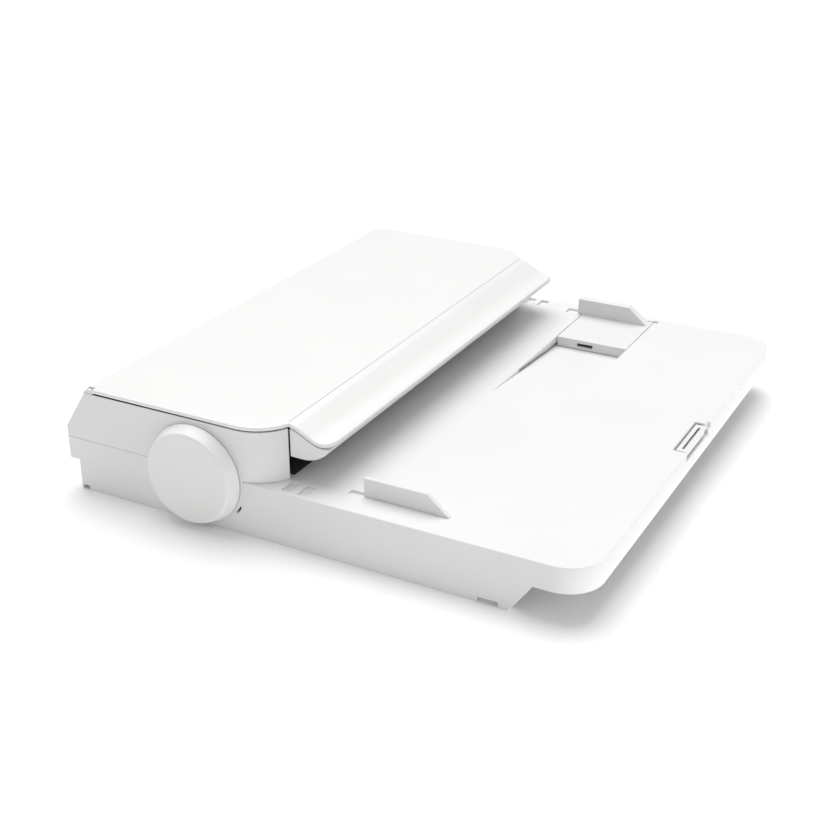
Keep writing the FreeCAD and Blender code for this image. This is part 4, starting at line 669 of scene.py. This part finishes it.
def buildKnob():
    knob = {"x": 66.5, "z": 22.7, "radius": 21.5, "faceRadius": 19.4, "front": -7.0, "thickness": 6.0, "skin": 2.2,
            "wall": 3.6, "rim": 0.9, "hub": 4.8, "bore": 3.0}
    x, z, front = knob["x"], knob["z"], knob["front"]
    back = front + knob["thickness"]
    body = roundBar("jam_knob_shown", x, z, knob["radius"], front, back, 128)
    chooseCorners(body, lambda corner: corner.y < spot(x, front + 1, z).y)  # the face is drawn in, for draft
    shrink = knob["faceRadius"] / knob["radius"]
    bpy.ops.transform.resize(value=(shrink, 1, shrink), center_override=spot(x, front, z))
    bpy.ops.object.mode_set(mode="OBJECT")
    chooseCorners(body, lambda corner: corner.y > spot(x, back - 1, z).y)
    bpy.ops.mesh.select_mode(type="FACE")
    bpy.ops.mesh.inset(thickness=knob["wall"] / 1000)
    bpy.ops.mesh.extrude_region_move(TRANSFORM_OT_translate={"value": (0, -(knob["thickness"] - knob["skin"]) / 1000, 0)})
    bpy.ops.mesh.select_mode(type="EDGE")
    bpy.ops.mesh.select_all(action="DESELECT")
    bpy.ops.object.mode_set(mode="OBJECT")
    rimPlace = spot(x, front, z)
    for edge in body.data.edges:  # the outer front rim
        ends = [body.data.vertices[i].co for i in edge.vertices]
        edge.select = all(abs(c.y - rimPlace.y) < 1e-5 and math.hypot(c.x - rimPlace.x, c.z - rimPlace.z) > 0.0190
                          for c in ends)
    bpy.ops.object.mode_set(mode="EDIT")
    bpy.ops.mesh.bevel(offset=knob["rim"] / 1000, segments=5, affect="EDGES")
    bpy.ops.object.mode_set(mode="OBJECT")
    weld(body, roundBar("hub", x, z, knob["hub"], front + knob["skin"] - 0.1, back, 48))
    for turn in range(6):  # thin spokes inside the cup
        a = math.radians(60 * turn + 30)
        spoke = box("spoke", (x + 4, x + knob["faceRadius"] - 2.5), (front + knob["skin"] - 0.1, back - 1.4), (z - 0.6, z + 0.6))
        editAll(spoke)
        bpy.ops.transform.rotate(value=a, orient_axis="Y", center_override=spot(x, 0, z))
        bpy.ops.object.mode_set(mode="OBJECT")
        weld(body, spoke)
    carve(body, roundBar("bore", x, z, knob["bore"], front + knob["skin"], 2, 40))
    cleanFaces(body, 0.1)
    soften(body, 0.2, 2, 40)
    return finishPiece(body, "feed_roller", "casing_white", knobAbs, "jam_knob")


# ---- side guides for the paper, and the slider that carries the rear one

def guideFin(name, foot, front, back):
    fin = traced(name, "XZ", [(136.4, foot), (173.6, foot), (163.4, 31.7), (136.4, 31.7)], front, back)
    # draft: the top is a little narrower than the foot, so that the tool lets go
    chooseCorners(fin, lambda corner: corner.z > 0.031)
    bpy.ops.transform.resize(value=(1, 0.86, 1), center_override=spot(150, (front + back) / 2, 0))
    bpy.ops.object.mode_set(mode="OBJECT")
    return fin


def buildFrontGuide():
    fin = guideFin("front_paper_guide_shown", 23.7, 12.5, 15.0)
    soften(fin, 0.35, 3)
    return finishPiece(fin, "base", "casing_white", guideAbs, "front_paper_guide")


def buildRearGuide():
    slider = {"x": (138.9, 174.7), "y": (199.0, 239.0), "top": 23.65, "rise": 5 / 75, "lift": 0.2, "start": 124.0,
              "slot": (149.5, 157.5), "edge": 0.3}
    front, back = slider["y"]
    floor = lambda y, up: (y, 23.7 - (y - slider["start"]) * slider["rise"] + up)
    plate = [floor(front, slider["lift"]), floor(back, slider["lift"]), (back, slider["top"]), (front, slider["top"])]
    body = traced("rear_paper_guide_shown", "YZ", plate, *slider["x"])
    tongue = [floor(225, 0.2), floor(back, 0.2), floor(back, 1.2), floor(225, 1.2)]
    weld(body, traced("tongues", "YZ", tongue, 137.7, 175.9), guideFin("fin", 23.6, 232.0, 237.5))
    x0, x1 = slider["slot"]
    carve(body, box("slot", (x0, x1), (front - 1, front + 4), (20.3, 21.9)),
          box("core", (141.0, 172.6), (front + 1.6, back - 8.5), (19.6, 22.3)))
    cleanFaces(body)
    soften(body, slider["edge"], 2)
    return finishPiece(body, "rear_guide", "casing_white", guideAbs, "rear_paper_guide")


# ---- folding paper stop at the open end of the tray

def buildPaperStop():
    stop = {"x": (229.7, 234.2), "y": (108.3, 135.7), "z": (20.5, 23.3), "pin": (231.0, 21.9)}
    body = box("paper_stop_shown", stop["x"], stop["y"], stop["z"])
    carve(body, box("groove", (231.5, 232.6), (110.6, 133.2), (22.2, 25)),
          box("grip", (230.8, 235.0), (133.5, 136.7), (19.9, 22.1)),
          roundBar("bore", *stop["pin"], 0.85, 107, 137, 24))
    cleanFaces(body)
    soften(body, 0.3, 3)
    return finishPiece(body, "stop", "casing_white", guideAbs, "paper_stop")


# ---- small hardware: pad spring, rubber feet and pan screws

def buildSpring():
    low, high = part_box("pad_spring")
    middle, height = (low + high) / 2, high.z - low.z
    coil = {"wire": 0.00032, "turns": 3.5}
    radius = (high.x - low.x) / 2 - coil["wire"]
    clearSelection()
    bpy.ops.mesh.primitive_circle_add(vertices=12, radius=coil["wire"], fill_type="NOTHING",
                                      location=(middle.x + radius, middle.y, low.z + coil["wire"]),
                                      rotation=(math.pi / 2, 0, 0))
    spring = bpy.context.object
    spring.name = "pad_spring_shown"
    bpy.ops.object.transform_apply(location=True, rotation=True, scale=True)
    axis = bpy.data.objects.new("axis", None)
    axis.location = middle
    bpy.context.scene.collection.objects.link(axis)
    wind = spring.modifiers.new("wind", "SCREW")
    wind.axis, wind.object = "Z", axis
    wind.angle = 2 * math.pi * coil["turns"]
    wind.screw_offset = height - 2 * coil["wire"]
    wind.steps = wind.render_steps = int(28 * coil["turns"])
    applyModifiers(spring)
    bpy.data.objects.remove(axis)
    editAll(spring)
    bpy.ops.mesh.remove_doubles(threshold=0.000005)
    bpy.ops.mesh.select_all(action="DESELECT")
    bpy.ops.mesh.select_mode(type="EDGE")
    bpy.ops.mesh.select_non_manifold()
    bpy.ops.mesh.edge_face_add()
    bpy.ops.mesh.select_all(action="SELECT")
    bpy.ops.mesh.fill_holes(sides=0)
    bpy.ops.mesh.normals_make_consistent(inside=False)
    bpy.ops.object.mode_set(mode="OBJECT")
    soften(spring, 0, 0, 50)
    finishPiece(spring, "base", "shaft_steel", pinSteel, "pad_spring")
    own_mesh(spring)


def buildFeetAndScrews():
    feet = None
    for x in (14.0, 64.0):
        for y in (44.0, 200.0):
            foot = upright("rubber_feet_shown", x, y, 5.0, 0, 1.2, 48)
            carve(foot, upright("dimple", x, y, 2.2, -0.2, 0.35, 32))
            cleanFaces(foot)
            soften(foot, 0.25, 3)
            feet = foot if feet is None else joined(feet, foot)
    finishPiece(feet, "base", "tyre_rubber", footRubber, "rubber_feet")
    screws = None
    for x in (20.0, 40.0):
        for y in (17.25, 229.75):
            screw = upright("pan_screws_shown", x, y, 2.5, 0.3, 1.2, 40)
            weld(screw, upright("shank", x, y, 1.2, 1.1, 5.7, 28))
            for groove in range(8):  # thread turns, kept coarse so that they show
                carve(screw, ring(x, y, 1.2, 1.75 + groove * 0.46))
            carve(screw, box("crossA", (x - 1.5, x + 1.5), (y - 0.25, y + 0.25), (0, 0.85)),
                  box("crossB", (x - 0.25, x + 0.25), (y - 1.5, y + 1.5), (0, 0.85)))
            cleanFaces(screw)
            soften(screw, 0.08, 2)
            screws = screw if screws is None else joined(screws, screw)
    finishPiece(screws, "base", "shaft_steel", pinSteel, "pan_screws")


def ring(x, y, radius, z):
    clearSelection()
    bpy.ops.mesh.primitive_torus_add(location=spot(x, y, z), major_radius=(radius + 0.06) / 1000,
                                     minor_radius=0.00015, major_segments=28, minor_segments=6)
    tool = bpy.context.object
    bpy.ops.object.transform_apply(location=True, rotation=True, scale=True)
    return tool


def joined(first, second):
    clearSelection()
    first.select_set(True)
    second.select_set(True)
    bpy.context.view_layer.objects.active = first
    bpy.ops.object.join()
    return first


buildHousing()
buildCover()
buildWingGuide()
print("housing and cover moulded")
buildKnob()
buildFrontGuide()
buildRearGuide()
buildPaperStop()
print("knob, guides and stop moulded")
buildSpring()
buildFeetAndScrews()
print("spring, feet and screws made")


# ---- room, light and camera

def buildRoom():
    room = {"sky": 0.53, "softbox": 2.2, "softboxSpread": 55, "sideFill": 0.2}
    clearSelection()
    bpy.ops.mesh.primitive_plane_add(size=30, location=(0, 0, 0))
    floor = bpy.context.object
    floor.name = "floor"
    material, shader, place = newFinish("paper floor", {"Base Color": toLinear("#FBFBFB"), "Roughness": 0.9,
                                                        "Specular IOR Level": 0.1})
    floor.data.materials.append(material)
    world = bpy.data.worlds.new("studio")
    world.use_nodes = True
    world.node_tree.nodes["Background"].inputs["Color"].default_value = (1, 1, 1, 1)
    world.node_tree.nodes["Background"].inputs["Strength"].default_value = room["sky"]
    bpy.context.scene.world = world
    bpy.ops.object.light_add(type="SUN", location=(-0.4, 0.3, 1.5), rotation=(math.radians(-20), math.radians(-14), 0))
    softbox = bpy.context.object
    softbox.data.energy = room["softbox"]
    softbox.data.angle = math.radians(room["softboxSpread"])
    bpy.ops.object.light_add(type="AREA", location=(0.60, -0.10, 0.036), rotation=(0, math.radians(82), 0))
    side = bpy.context.object  # a low strip reflector: it reaches the open end's skirt and stays under the wing
    side.data.shape, side.data.size, side.data.size_y = "RECTANGLE", 0.026, 0.8
    side.data.spread = math.radians(18)
    side.data.energy = room["sideFill"]
    bpy.context.scene.view_settings.view_transform = "Standard"


def placeCamera():
    # a short tele lens, a little above the paper tray's front corner
    view = {"place": (0.2538, -0.5046, 0.2794), "ahead": (-0.4252, 0.7962, -0.4304), "lens": 59.45}
    bpy.ops.object.camera_add(location=view["place"])
    camera = bpy.context.object
    camera.rotation_euler = Vector(view["ahead"]).to_track_quat("-Z", "Y").to_euler()
    camera.data.lens = view["lens"]
    camera.data.clip_start = 0.01
    camera.data.dof.use_dof = False
    bpy.context.scene.camera = camera


buildRoom()
placeCamera()
print("room lit")
